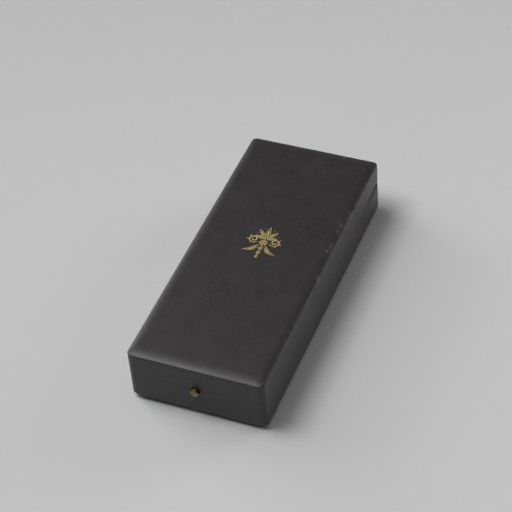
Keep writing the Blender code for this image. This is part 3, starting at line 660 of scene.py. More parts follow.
# %% [markdown]
# ## Rooms in the skins
#
# The hinge plates lie in the rims, level with the leather, and their barrels are half sunk in the
# back. The button's head sits in a round notch that both halves share. The rooms are read from the
# boxes of the CAD pieces that lie in them, with 0.3 mm of air, so that they follow the CAD if it
# changes. They are cut with exact booleans, which keep the walls of a cut crisp.

# %% Rooms in the skins
FIT = 0.0003
SNUG = 0.00012
PAST = 0.0020
BARREL_RADIUS = 0.0016
BUTTON_RADIUS = 0.00275
NOTCH_DEPTH = 0.0014
ROUND_STEPS = 40


def block(low, high):
    """A plain block, which only cuts other pieces."""
    shape = bmesh.new()
    bmesh.ops.create_cube(shape, size=1)
    low, high = Vector(low), Vector(high)
    for vertex in shape.verts:
        vertex.co = (low + high) / 2 + Vector(a * b for a, b in zip(vertex.co, high - low))
    return shape


def turned(profile, centre, axis, steps=ROUND_STEPS):
    """Turn a profile of (radius, distance) pairs about an axis through a centre."""
    axis = Vector(axis)
    across = axis.orthogonal().normalized()
    beside = axis.cross(across)
    rings = []
    for radius, distance in profile:
        middle = Vector(centre) + axis * distance
        angles = [math.tau * step / steps for step in range(steps)]
        directions = [across * math.cos(angle) + beside * math.sin(angle) for angle in angles]
        rings.append([middle + radius * direction for direction in directions])
    return loft(rings)


def cut(piece, shapes):
    """Cut shapes out of a piece for good."""
    for shape in shapes:
        cutter = new_object("cutter", shape, piece.data.materials[0], smooth=False)
        boolean = piece.modifiers.new("cut", "BOOLEAN")
        boolean.operation = "DIFFERENCE"
        boolean.solver = "EXACT"
        boolean.object = cutter
        evaluated = piece.evaluated_get(bpy.context.evaluated_depsgraph_get())
        cut_mesh = bpy.data.meshes.new_from_object(evaluated)
        piece.modifiers.clear()
        piece.data = cut_mesh
        bpy.data.objects.remove(cutter, do_unlink=True)
    piece.data.name = piece.name
    piece.data.shade_smooth()
    piece.data.set_sharp_from_angle(angle=SHARP)


def hinge_rooms(half, low_z, high_z):
    """A flat room for each hinge plate and a round one for each barrel."""
    shapes = []
    for side in ("left", "right"):
        low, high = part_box(f"hinge_leaf_{half}_{side}")
        pin_low, pin_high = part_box(f"hinge_pin_{side}")
        axis_y = (pin_low.y + pin_high.y) / 2
        end_y = axis_y - BARREL_RADIUS
        shapes.append(block((low.x - FIT, low.y - PAST, low_z), (high.x + FIT, end_y, high_z)))
        room = [(BARREL_RADIUS + FIT, -FIT), (BARREL_RADIUS + FIT, pin_high.x - pin_low.x + FIT)]
        shapes.append(turned(room, (pin_low.x, axis_y, SEAM_HEIGHT), (1, 0, 0)))
    return shapes


spring_low, spring_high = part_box("leaf_spring")
keeper_low, keeper_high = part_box("keeper_plate")
button_low, button_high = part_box("push_button")
button_height = (button_low.z + button_high.z) / 2


def button_notch():
    """The round notch that the button's head sinks into."""
    wall = [(BUTTON_RADIUS + SNUG, -PAST), (BUTTON_RADIUS + SNUG, NOTCH_DEPTH)]
    return turned(wall, (0, -CASE_LENGTH / 2, button_height), (0, 1, 0))


STEM_ROOM = 0.0010
POCKET_ROOM = 0.0006
stem_room = block((-STEM_ROOM, -CASE_LENGTH / 2 + LEATHER, button_height - STEM_ROOM),
                  (STEM_ROOM, spring_low.y, BASE_RIM + PAST))
pocket_room = block((spring_low.x - POCKET_ROOM, spring_high.y - LEATHER - FIT, spring_low.z),
                    (spring_high.x + POCKET_ROOM, keeper_high.y + PAST, BASE_RIM + PAST))
keeper_room = block((keeper_low.x - FIT, keeper_low.y - FIT, LID_RIM - PAST),
                    (keeper_high.x + FIT, keeper_high.y + PAST, LID_RIM + LEATHER + FIT))
nose_room = block((spring_low.x - FIT, spring_low.y - FIT, LID_RIM),
                  (spring_high.x + FIT, keeper_high.y + PAST, spring_high.z + FIT))
base_rooms = hinge_rooms("base", BASE_RIM - LEATHER - FIT, BASE_RIM + PAST)
lid_rooms = hinge_rooms("lid", LID_RIM - PAST, LID_RIM + LEATHER + FIT)
cut(base_skin, [*base_rooms, button_notch(), stem_room, pocket_room])
cut(lid_skin, [*lid_rooms, button_notch(), keeper_room, nose_room])
print("vertices after cutting:", len(base_skin.data.vertices), len(lid_skin.data.vertices))

# %% [markdown]
# ## Wear and painted light
#
# Hands and shelves rub a case where it stands proud: at its corners, round the foot and along the
# lid's rolled edge. A value for wear is written on every vertex, from 0 for sound leather to 1
# for the most rubbed. At the ends of the case the foot gets a much higher value, which is painted
# light: it pales the bevelled foot where it falls into shade. The rolls along the right side and
# the back of the lid also have grey scuffs, each given by its place, its reach and its depth. A
# second value, dryness, dulls the rims towards the hinges.

# %% Wear and painted light on the skins
SCUFFS = (
    (0.0394, 0.0142, 0.0017, 1.0), (0.0397, 0.0190, 0.0019, 1.0), (0.0395, 0.0318, 0.0016, 0.9),
    (0.0392, 0.0372, 0.0022, 0.9), (0.0396, 0.0497, 0.0014, 0.6), (0.0394, -0.0085, 0.0014, 0.7),
    (0.0396, -0.0170, 0.0010, 0.5), (0.0418, -0.0650, 0.0012, 0.6), (0.0418, -0.0095, 0.0022, 0.6),
    (0.0418, 0.0080, 0.0016, 0.5), (0.0418, 0.0480, 0.0030, 0.4), (0.0130, 0.0965, 0.0016, 0.5),
    (0.0205, 0.0970, 0.0018, 0.6), (-0.0120, 0.0975, 0.0012, 0.4),
)
SCUFF_LOW = SEAM_HEIGHT + 0.012
SCUFF_STRETCH = 1.4
SCUFF_SOFTNESS = 1.6
CORNER_WEAR = 0.12
SIDE_FOOT_WEAR = 0.22
# Painted light: the foot at the ends is made much paler than wear alone would make it.
END_FOOT_LIGHT = 0.60
DRY_HEIGHT = 0.0202
DRY_REACH = 0.0019


def bell(distance, reach):
    """1 at no distance, falling smoothly to nearly nothing at twice the reach."""
    return math.exp(-((distance / reach) ** 2))


def wear_and_light_at(point):
    """How rubbed the leather is at a place, with painted light added on the foot at the ends."""
    inset_x, inset_y = CASE_WIDTH / 2 - abs(point.x), CASE_LENGTH / 2 - abs(point.y)
    inset = min(inset_x, inset_y)
    corner = bell(math.hypot(inset_x, inset_y), PLAN_RADIUS)
    foot = bell(point.z - LIFT - FOOT_RADIUS / 3, FOOT_RADIUS / 3)
    foot *= bell(max(inset, 0), FOOT_RADIUS)
    # Wear at the sides of the foot, painted light at its ends.
    foot_wear_and_light = END_FOOT_LIGHT if inset_y < inset_x else SIDE_FOOT_WEAR
    wear_and_light = max(CORNER_WEAR * corner, foot_wear_and_light * foot)
    if point.z > SCUFF_LOW:
        for x, y, reach, depth in SCUFFS:
            distance = math.hypot(point.x - x, (point.y - y) / SCUFF_STRETCH)
            wear_and_light = max(wear_and_light, depth * bell(distance, reach / SCUFF_SOFTNESS))
    return wear_and_light


def dryness_at(point):
    """How dry the leather is at a place. It loses its polish at the rims, towards the hinges."""
    return towards_hinges(point.y) * bell(point.z - DRY_HEIGHT, DRY_REACH)


def write_values(piece, name, value_at):
    """Write a value for every vertex on the mesh, and give the largest."""
    values = [value_at(vertex.co) for vertex in piece.data.vertices]
    piece.data.attributes.new(name, "FLOAT", "POINT").data.foreach_set("value", values)
    return max(values)


for skin, node, body in ((base_skin, "base_leather", "base"), (lid_skin, "lid_leather", "lid")):
    print(skin.name, "is worn up to", round(write_values(skin, "wear_and_light", wear_and_light_at), 2))
    print(skin.name, "is dry up to", round(write_values(skin, "dryness", dryness_at), 2))
    even = skin.modifiers.new("even shading", "WEIGHTED_NORMAL")
    even.keep_sharp = True
    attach(skin, body)
    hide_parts(node)

# %% [markdown]
# ## Gilding
#
# A bookbinder's tools press gold leaf into the lid: fine lines, drops and dots, worked as a
# palmette over a rosette, with scrolls, leaves and a pendant. A flat picture on the leather would
# be the quick way. Here each line is a strip of foil a few hundredths of a millimetre thick, so its
# edge catches light as real foil does.

# %% Gold leaf
GOLD_PALE = (0.74, 0.61, 0.27)
GOLD_DEEP = (0.50, 0.37, 0.13)
GOLD_METAL = 0.55
GOLD_RUB_SCALE = 1500.0
GOLD_RUB_START, GOLD_RUB_END = 0.42, 0.62
GOLD_ROUGHNESS = (0.42, 0.60)
GOLD_GRAIN_DEPTH = 0.00003


def gold_leaf():
    """Gold leaf, slightly rubbed, so that it is deeper in places."""
    gold = new_finish("gold_leaf", GOLD_PALE, 0.5, GOLD_METAL)
    rub = pattern(gold, NOISE, GOLD_RUB_SCALE, detail=3.0)
    grain = leather_grain(gold)
    rubbed = spread(gold, rub, 0.0, 1.0, GOLD_RUB_START, GOLD_RUB_END)
    colour = tinted(gold, rubbed, GOLD_PALE, GOLD_DEEP)
    roughness = spread(gold, rub, *GOLD_ROUGHNESS)
    return dress(gold, colour, roughness, relief(gold, grain, GOLD_GRAIN_DEPTH))


gold = gold_leaf()
print("gold over leather grain of", GRAIN_SCALE, "cells per metre")

# %% Foil strokes
ORNAMENT_SHIFT = 0.0090
FOIL_LOW = CROWN_TOP - WAVE_DEPTH
FOIL_HIGH = CROWN_TOP + 0.00006
FINE_LINE = 0.00034
FOIL_TIP = 0.00012
DOT_STEPS = 18
DOT_END = 0.05
LEAF_LEAN = 0.85
VEIN_START, VEIN_END = 0.14, 0.78
VEIN_SHARE = 0.42


def foil_strip(shape, left, right):
    """Add a thin strip of foil between two rails of (across, along) points."""
    rows = []
    for one, other in zip(left, right):
        corners = ((one, FOIL_LOW), (other, FOIL_LOW), (other, FOIL_HIGH), (one, FOIL_HIGH))
        places = [(point[0], ORNAMENT_SHIFT + point[1], height) for point, height in corners]
        rows.append([shape.verts.new(place) for place in places])
    shape.faces.new(rows[0])
    shape.faces.new(rows[-1])
    for one, other in zip(rows, rows[1:]):
        join_rows(shape, one, other)


def foil_stroke(shape, path, widths):
    """Add a stroke of foil along a path, with its width at each point."""
    left, right = [], []
    for number, (point, width) in enumerate(zip(path, widths)):
        before, after = path[max(number - 1, 0)], path[min(number + 1, len(path) - 1)]
        forward = (Vector(after) - Vector(before)).normalized()
        side = Vector((-forward.y, forward.x)) * width / 2
        left.append(Vector(point) + side)
        right.append(Vector(point) - side)
    foil_strip(shape, left, right)


def swelling(width, count, power=0.8):
    """Widths that swell from a fine tip to the middle and back."""
    shares = [step / (count - 1) for step in range(count)]
    return [FOIL_TIP + (width - FOIL_TIP) * math.sin(math.pi * share) ** power for share in shares]


def foil_dot(shape, centre, radius):
    """Add a round dot, as two half circles that meet in a seam."""
    rises = [math.cos(math.pi * step / DOT_STEPS) for step in range(DOT_STEPS + 1)]
    path = [(centre[0], centre[1] + radius * rise) for rise in rises]
    widths = [2 * radius * max(math.sqrt(1 - rise * rise), DOT_END) for rise in rises]
    foil_stroke(shape, path, widths)


def blade(shape, foot, tip, width, bend=0.0, line_width=FINE_LINE, steps=20):
    """Add a leaf: two bowed outlines that meet at its ends, and a solid vein between them."""
    foot, tip = Vector(foot), Vector(tip)
    forward = tip - foot
    side = Vector((-forward.y, forward.x)).normalized()
    shares = [step / steps for step in range(steps + 1)]
    spine = [foot + forward * share + side * bend * math.sin(math.pi * share) for share in shares]
    half = [width / 2 * math.sin(math.pi * share ** LEAF_LEAN) for share in shares]
    for way in (-1, 1):
        rail = [point + side * way * reach for point, reach in zip(spine, half)]
        foil_stroke(shape, rail, [line_width] * len(rail))
    vein = [point for point, share in zip(spine, shares) if VEIN_START <= share <= VEIN_END]
    foil_stroke(shape, vein, swelling(width * VEIN_SHARE, len(vein)))


def finish_foil(shape, name, node):
    """Make a piece of foil that stands for a gilt node."""
    foil = new_object(name, shape, gold, smooth=False)
    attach(foil, "lid")
    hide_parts(node)


print("foil thickness in millimetres:", round((FOIL_HIGH - FOIL_LOW) * 1000, 3))

# %% [markdown]
# ### The ornament
#
# The motifs follow old binders' stock: a fan of five veined lobes above, an eight-petalled flower,
# a pair of scrolls, two slanting leaves and a string of drops. They are drawn from circles, arcs
# and bowed lines, each by one short loop. The flower, the fan and the drops come first.

# %% Flower, fan and drops
PETAL_TURNS = range(0, 360, 45)
ROSETTE_RADIUS = 0.0029
EYE_RADIUS = 0.00050
EYE_RING = 0.00095
PETAL_FOOT = 0.00115
PETAL_WIDTH = 0.0011
FLOWER_LINE = 0.0002
FLOWER_STEPS = 12
PALMETTE_FOOT = 0.0031
PALMETTE_DOT = 0.00055
LOBE_START = 0.0011
PALMETTE_LOBES = (
    (-74, 0.0071, 0.0017), (-38, 0.0093, 0.0021), (0, 0.0106, 0.0023),
    (38, 0.0093, 0.0021), (74, 0.0071, 0.0017),
)
BEAD_TURNS = (-56, -19, 19, 56)
BEAD_REACH = 0.0098
BEAD_FALL = 0.0022
BEAD_RADIUS = 0.00024
PENDANT_TOP = -0.0031
PENDANT_DROPS = ((0.0040, 0.0026), (0.0034, 0.0021), (0.0027, 0.0016))
DROP_LINE = 0.00028
DROP_STEPS = 16
ORNAMENT_GAP = 0.0003


def polar(radius, degrees, along=0.0):
    """A point at a distance and a turn from straight up."""
    angle = math.radians(degrees)
    return (radius * math.sin(angle), along + radius * math.cos(angle))


flower = bmesh.new()
foil_dot(flower, (0, 0), EYE_RADIUS)
eye_path = [polar(EYE_RING, degrees) for degrees in range(0, 361, 10)]
foil_stroke(flower, eye_path, [FLOWER_LINE] * len(eye_path))
for degrees in PETAL_TURNS:
    petal_foot, petal_tip = polar(PETAL_FOOT, degrees), polar(ROSETTE_RADIUS, degrees)
    blade(flower, petal_foot, petal_tip, PETAL_WIDTH, line_width=FLOWER_LINE,
          steps=FLOWER_STEPS)
finish_foil(flower, "foil_rosette", "gilt_rosette")

fan = bmesh.new()
foil_dot(fan, (0, PALMETTE_FOOT + ORNAMENT_GAP), PALMETTE_DOT)
for degrees, reach, width in PALMETTE_LOBES:
    lobe_foot = polar(LOBE_START, degrees, PALMETTE_FOOT)
    blade(fan, lobe_foot, polar(reach, degrees, PALMETTE_FOOT), width)
for degrees in BEAD_TURNS:
    reach = BEAD_REACH - BEAD_FALL * abs(degrees) / max(BEAD_TURNS)
    foil_dot(fan, polar(reach, degrees, PALMETTE_FOOT), BEAD_RADIUS)
finish_foil(fan, "foil_palmette", "gilt_palmette")

drops = bmesh.new()
drop_top = PENDANT_TOP
for length, width in PENDANT_DROPS:
    blade(drops, (0, drop_top), (0, drop_top - length), width, line_width=DROP_LINE,
          steps=DROP_STEPS)
    drop_top -= length + ORNAMENT_GAP
finish_foil(drops, "foil_pendant", "gilt_pendant")
print("petals, lobes and drops:", len(PETAL_TURNS), len(PALMETTE_LOBES), len(PENDANT_DROPS))

# %% [markdown]
# ### Scrolls and leaves
#
# The scrolls and the leaves are mirrored, so one loop draws both sides. A scroll is a line whose
# radius shrinks as it turns, with three short sprays on its back and a dot at its heart.

# %% Scrolls and leaves
SCROLL_REACH = 0.0067
SCROLL_RADIUS = 0.0033
SCROLL_WIDTH = 0.0008
SCROLL_SHRINK = 0.74
SCROLL_START = -150.0
SCROLL_TURN = 500.0
SCROLL_STEPS = 64
SCROLL_DOT = 0.00048
SPRAYS = ((0.16, 0.0016), (0.27, 0.0019), (0.38, 0.0016))
SPRAY_WIDTH = 0.0006
SPRAY_RISE = 0.0006
SPRAY_STEPS = 8
LEAF_WIDTH = 0.0022
LEAF_BEND = 0.0015
LEAF_DOT = 0.00028


def scroll_path(side):
    """A line that winds inwards beside the flower."""
    path = []
    for step in range(SCROLL_STEPS + 1):
        share = step / SCROLL_STEPS
        angle = math.radians(SCROLL_START + SCROLL_TURN * share)
        radius = SCROLL_RADIUS * (1 - SCROLL_SHRINK * share)
        across = side * (SCROLL_REACH + radius * math.cos(angle))
        path.append((across, SCROLL_RADIUS / 2 + radius * math.sin(angle)))
    return path


for side, name in ((-1, "left"), (1, "right")):
    winding = bmesh.new()
    outer = scroll_path(side)
    foil_stroke(winding, outer, swelling(SCROLL_WIDTH, len(outer), 0.5))
    foil_dot(winding, outer[-1], SCROLL_DOT)
    for share, length in SPRAYS:
        at = Vector(outer[int(share * len(outer))])
        out = (at - Vector((side * SCROLL_REACH, SCROLL_RADIUS / 2))).normalized()
        tip = at + out * length + Vector((0, SPRAY_RISE))
        spray = [at + (tip - at) * step / SPRAY_STEPS for step in range(SPRAY_STEPS + 1)]
        foil_stroke(winding, spray, swelling(SPRAY_WIDTH, len(spray)))
    finish_foil(winding, f"foil_scroll_{name}", f"gilt_scroll_{name}")
    leaf = bmesh.new()
    foot, tip = Vector((side * 0.0025, -0.0027)), Vector((side * 0.0096, -0.0085))
    blade(leaf, foot, tip, LEAF_WIDTH, bend=-side * LEAF_BEND)
    foil_dot(leaf, tip + Vector((side * 0.0005, -ORNAMENT_GAP)), LEAF_DOT)
    finish_foil(leaf, f"foil_leaf_{name}", f"gilt_leaf_{name}")

# %% [markdown]
# ## Brass and steel
#
# The button, hinges, spring and keeper are brass that has darkened with age; screws and pins are
# steel. Metal shows little colour of its own and mostly mirrors the room, so tarnish is drawn as
# patches of darker, duller metal, and fine brushing as a noise stretched along one direction. The
# button's upper side is painted browner and darker, as painted shade.

# %% Brass and steel
TARNISH_SCALE = 420.0
TARNISH_START, TARNISH_END = 0.38, 0.66
TARNISH_ROUGHNESS = 0.22
BRUSH_SCALE = 900.0
BRUSH_DEPTH = 0.00001
SHADE_DIRECTION = (0.15, 0.45, 0.88)
SHADE_START, SHADE_END = -0.25, 0.35


def painted_shade_on_top(metal):
    """A share for painted shade: 1 on the upper side of a small piece and 0 below."""
    facing = add_node(metal, "ShaderNodeVectorMath", operation="DOT_PRODUCT")
    facing.inputs[1].default_value = SHADE_DIRECTION
    place = add_node(metal, "ShaderNodeTexCoord")
    metal.node_tree.links.new(place.outputs["Normal"], facing.inputs[0])
    return spread(metal, facing.outputs["Value"], 0.0, 1.0, SHADE_START, SHADE_END)


def aged_metal(name, bright, dull, smooth_share, stretch, top_shade=None):
    """Metal with patches of tarnish, fine brush marks, and painted shade on top where a shade
    colour is given.
    """
    metal = new_finish(name, bright, smooth_share, 1.0)
    tarnish = pattern(metal, NOISE, TARNISH_SCALE, detail=4.0)
    brushing = pattern(metal, NOISE, BRUSH_SCALE, stretch, detail=2.0)
    patches = spread(metal, tarnish, 0.0, 1.0, TARNISH_START, TARNISH_END)
    colour = tinted(metal, patches, bright, dull)
    if top_shade is not None:
        # Painted shade: the upper side is darkened towards the given colour.
        colour = tinted(metal, painted_shade_on_top(metal), colour, top_shade)
    roughness = spread(metal, tarnish, smooth_share, smooth_share + TARNISH_ROUGHNESS)
    return dress(metal, colour, roughness, relief(metal, brushing, BRUSH_DEPTH))


# Bright and dull colour, roughness where it is smoothest, stretch of the brushing, and painted
# shade on top.
METALS = {
    "aged_brass": ((0.52, 0.36, 0.17), (0.24, 0.15, 0.075), 0.26, (0.08, 1, 1)),
    # The button's last colour is painted shade for its upper side.
    "button_brass": ((0.40, 0.34, 0.26), (0.20, 0.155, 0.11), 0.42, (1, 0.1, 1),
                     (0.10, 0.065, 0.04)),
    "steel": ((0.46, 0.45, 0.43), (0.26, 0.24, 0.21), 0.28, (1, 1, 0.1)),
}
brass, button_brass, steel = (aged_metal(name, *values) for name, values in METALS.items())
print("metals:", brass.name, button_brass.name, steel.name)

# %% [markdown]
# ## Button
#
# The button is a small turned brass knob. Its face isn't flat: a lathe left a raised rim round a
# shallow dish, which mirrors the floor as a pale and a dark band. It is turned here from one
# profile, as on a lathe, with its stem and the tail that is clenched behind the spring.

# %% Button
SPRING_THICKNESS = 0.0004
HARDWARE_FIT = 0.0002
STEM_RADIUS = 0.0007
TAIL_RADIUS = 0.00045
CLENCH_RADIUS = 0.0010
BUTTON_REACH = 0.0025
KNOB_STEPS = 48
front = -CASE_LENGTH / 2
spring_face = spring_high.y - SPRING_THICKNESS
tail_end = spring_high.y + HARDWARE_FIT - front
shoulder = spring_face - HARDWARE_FIT - front
knob_dish = [(0.00012, -0.00222), (0.0006, -0.00224), (0.0011, -0.00230), (0.0014, -0.00237)]
knob_rim = [
    (0.00158, -0.00246), (0.00172, -BUTTON_REACH), (0.00190, -0.00249), (0.00212, -0.00243),
    (0.00234, -0.00230), (0.00252, -0.00210), (0.00266, -0.00178), (0.00273, -0.00140),
]
knob_side = [
    (BUTTON_RADIUS, -0.0010), (BUTTON_RADIUS, 0.00018), (0.00266, 0.0003), (STEM_RADIUS, 0.0003),
]
knob_tail = [
    (STEM_RADIUS, shoulder), (TAIL_RADIUS, shoulder), (TAIL_RADIUS, tail_end),
    (0.0009, tail_end), (CLENCH_RADIUS, tail_end + 0.0001),
    (0.0009, tail_end + 0.00025), (TAIL_RADIUS, tail_end + 0.0004),
]
knob_shape = turned(knob_dish + knob_rim + knob_side + knob_tail, (0, front, button_height),
                    (0, 1, 0), KNOB_STEPS)
knob = new_object("knob", knob_shape, button_brass)
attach(knob, "button")
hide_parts("push_button")
print("knob across in millimetres:", round(2000 * BUTTON_RADIUS, 2))

# %% [markdown]
# ## Leaf spring
#
# The catch is one strip of springy brass, screwed to the front board at its foot. Its nose hooks
# over the keeper in the lid, and the button pushes it back.

# %% Leaf spring
SPRING_STEPS = 22
NOSE_HEIGHT = 0.0010
NOSE_TIP = 0.0004
SCREW_FOOT = 0.0014
SCREW_PITCH = 0.0032
SCREW_ROOM = 0.0013
HOLE_STEPS = 24
nose_low = spring_high.z - NOSE_HEIGHT
strip = bmesh.new()
band = (nose_low - spring_low.z) / SPRING_STEPS
levels = [spring_low.z + band * step for step in range(SPRING_STEPS + 1)]
outline = [(spring_face, level) for level in levels]
outline += [(spring_low.y, nose_low), (spring_low.y, nose_low + NOSE_TIP)]
outline += [(spring_face, spring_high.z)]
outline += [(spring_high.y, spring_high.z)] + [(spring_high.y, level) for level in reversed(levels)]
sides = [[strip.verts.new((x, y, z)) for y, z in outline] for x in (spring_low.x, spring_high.x)]
strip.faces.new(sides[0])
strip.faces.new(sides[1])
join_rows(strip, *sides)
bmesh.ops.triangulate(strip, faces=[face for face in strip.faces if len(face.verts) > 4])
spring = new_object("spring_strip", strip, brass, smooth=False)
low_screw = spring_low.z + SCREW_FOOT
hole_sizes = (
    (button_height, TAIL_RADIUS + HARDWARE_FIT), (low_screw, SCREW_ROOM),
    (low_screw + SCREW_PITCH, SCREW_ROOM),
)
holes = []
for hole_height, radius in hole_sizes:
    through = [(radius, -HARDWARE_FIT), (radius, SPRING_THICKNESS + HARDWARE_FIT)]
    holes.append(turned(through, (0, spring_face, hole_height), (0, 1, 0), HOLE_STEPS))
cut(spring, holes)
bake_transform(spring)
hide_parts("leaf_spring")
print("spring length in millimetres:", round(1000 * (spring_high.z - spring_low.z), 1))

# %% [markdown]
# ## Velvet and silk
#
# The well is lined with dark blue velvet and the lid with ivory silk. Velvet looks darkest where it
# is seen along its pile and pale at grazing angles, which the shader's sheen does. Silk is
# smoother, with a fine weave of crossed threads and a slight yellowing.

# %% Velvet and silk
VELVET_DEEP = (0.010, 0.015, 0.062)
VELVET_BRUSHED = (0.020, 0.030, 0.105)
SILK_PALE = (0.79, 0.735, 0.61)
SILK_AGED = (0.70, 0.625, 0.475)
NAP_SCALE = 42.0
PILE_SCALE = 4200.0
PILE_DEPTH = 0.00015
PILE_ROUGHNESS = (0.82, 0.96)
THREAD_SCALE = 1250.0
THREAD_DEPTH = 0.00002
SLUB_SCALE = 900.0
AGEING_SCALE = 24.0
SILK_ROUGHNESS = (0.36, 0.46)
VELVET_SHEEN = {"sheen_weight": 0.7, "sheen_roughness": 0.35, "sheen_tint": (0.30, 0.38, 0.75, 1)}
SILK_SHEEN = {"sheen_weight": 0.25, "sheen_roughness": 0.3}


def velvet():
    """Dark velvet with a brushed pile."""
    cloth = new_finish("blue_velvet", VELVET_DEEP, 0.9)
    nap = pattern(cloth, NOISE, NAP_SCALE, detail=3.0)
    pile = pattern(cloth, NOISE, PILE_SCALE, detail=2.0)
    colour = tinted(cloth, spread(cloth, nap, 0.0, 1.0), VELVET_DEEP, VELVET_BRUSHED)
    normal = relief(cloth, pile, PILE_DEPTH)
    return dress(cloth, colour, spread(cloth, pile, *PILE_ROUGHNESS), normal, **VELVET_SHEEN)


def silk():
    """Ivory satin: close threads under a soft gloss, yellowed in clouds."""
    cloth = new_finish("ivory_silk", SILK_PALE, 0.40)
    warp = pattern(cloth, WAVES, THREAD_SCALE, bands_direction="X")
    weft = pattern(cloth, WAVES, THREAD_SCALE, bands_direction="Y")
    weave = combined(cloth, warp, weft)
    ageing = pattern(cloth, NOISE, AGEING_SCALE, detail=4.0)
    slubs = pattern(cloth, NOISE, SLUB_SCALE, (1, 0.08, 1), detail=2.0)
    colour = tinted(cloth, spread(cloth, ageing, 0.0, 1.0), SILK_PALE, SILK_AGED)
    normal = relief(cloth, weave, THREAD_DEPTH)
    normal = relief(cloth, slubs, THREAD_DEPTH, normal)
    return dress(cloth, colour, spread(cloth, slubs, *SILK_ROUGHNESS), normal, **SILK_SHEEN)


blue_velvet, ivory_silk = velvet(), silk()
print("cloths:", blue_velvet.name, ivory_silk.name)

# %% [markdown]
# ## Lining strips
#
# Four strips line each half: card, wadding and cloth, wrapped and glued. A block with a bevel would
# look like painted wood. These have round edges and a slightly uneven face, and each takes the
# place of its CAD strip.

# %% Lining strips
STRIP_RADIUS = 0.00042
STRIP_CUT = 0.0035
STRIP_WAVE = 0.00006
STRIP_WAVE_SCALE = 130.0


def cut_across(shape, axis, places):
    """Cut a form along planes that cross one of its axes."""
    direction = Vector([float(number == axis) for number in range(3)])
    for place in places:
        everything = shape.verts[:] + shape.edges[:] + shape.faces[:]
        bmesh.ops.bisect_plane(shape, geom=everything, plane_co=direction * place,
                               plane_no=direction)


def covered_strip(name, node, cloth, body):
    """A cloth-covered strip with round edges, in the box of a CAD strip."""
    low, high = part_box(node)
    shape = block(low, high)
    size = high - low
    long_axis = max(range(3), key=lambda axis: size[axis])
    thin_axis = min(range(3), key=lambda axis: size[axis])
    count = int(size[long_axis] / STRIP_CUT)
    bmesh.ops.bevel(shape, geom=shape.edges[:], offset=STRIP_RADIUS, segments=4, profile=0.5,
                    affect="EDGES")
    places = [low[long_axis] + size[long_axis] * step / count for step in range(1, count)]
    cut_across(shape, long_axis, places)
    middle = (low + high) / 2
    for vertex in shape.verts:
        inward = 1 if vertex.co[thin_axis] < middle[thin_axis] else -1
        dip = STRIP_WAVE * (0.5 + 0.5 * noise.noise(vertex.co * STRIP_WAVE_SCALE))
        vertex.co[thin_axis] += inward * dip
    covered = new_object(name, shape, cloth)
    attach(covered, body)
    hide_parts(node)


LININGS = (
    ("velvet", blue_velvet, "blue_velvet", "base"),
    ("silk", ivory_silk, "ivory_silk", "lid"),
)
for side in ("front", "back", "left", "right"):
    for stuff, cloth, slot, body in LININGS:
        covered_strip(f"{stuff}_strip_{side}", f"{stuff}_lining_{side}", cloth, body)

# %% [markdown]
# ## Pads
#
# Under the keepsake lies a velvet pad, and a silk one faces it in the lid: cloth drawn over wadding
# on a card. A cloth simulation stuffs them. The card's side of a closed form is held, the rest
# swells under pressure, and the points settle where the stretched cloth lets them. The solver
# expects pieces as large as clothes, so a pad of a few millimetres is stuffed at ten times its
# size. Then its height is brought down to the room that the CAD pad has, and small puckers are
# added where the cloth is pulled over the edge.

# %% Pads
WORK_SCALE = 10.0
CLOTH_CUT = 0.0022
SIDE_CUTS = (0.35, 0.7)
SETTLE_FRAMES = 22
PRESSURE = 0.3
SLACK = -0.005
BENDING = 0.1
PAD_SHOULDER = 0.58
PAD_INSET = 0.0004
PUCKER_DEPTH = 0.00020
PUCKER_PITCH = 0.0068
PUCKER_REACH = 0.0065
PUCKER_DRIFT = 0.6
DRIFT_ALONG, DRIFT_INWARDS = 55, 90
PUCKER_DIFFERENCE = 0.4
DIFFERENCE_SCALE = 80


def card_form(half_x, half_y, height):
    """The flat closed form that is stuffed: its floor lies at height 0, and a grid covers it."""
    shape = block((-half_x, -half_y, 0), (half_x, half_y, height))
    for axis, half in ((0, half_x), (1, half_y)):
        count = round(2 * half / CLOTH_CUT)
        cut_across(shape, axis, [half * (2 * step / count - 1) for step in range(1, count)])
    cut_across(shape, 2, [height * share for share in SIDE_CUTS])
    return shape


def stuffed(shape):
    """Hold the floor of a closed form, and let the rest swell like cloth over wadding."""
    for vertex in shape.verts:
        vertex.co *= WORK_SCALE
    held = [number for number, vertex in enumerate(shape.verts) if vertex.co.z < PAD_INSET]
    cover = new_object("cover", shape, blue_velvet)
    cover.vertex_groups.new(name="held").add(held, 1.0, "REPLACE")
    cloth = cover.modifiers.new("cloth", "CLOTH")
    cloth.point_cache.frame_end = SETTLE_FRAMES
    cloth.settings.vertex_group_mass = "held"
    cloth.settings.use_pressure = True
    cloth.settings.uniform_pressure_force = PRESSURE
    cloth.settings.shrink_min = SLACK
    cloth.settings.bending_stiffness = BENDING
    cloth.settings.effector_weights.gravity = 0.0
    for frame in range(1, SETTLE_FRAMES + 1):
        bpy.context.scene.frame_set(frame)
    settled = bmesh.new()
    settled.from_object(cover, bpy.context.evaluated_depsgraph_get())
    bpy.context.scene.frame_set(1)
    bpy.data.objects.remove(cover)
    for vertex in settled.verts:
        vertex.co /= WORK_SCALE
    return settled


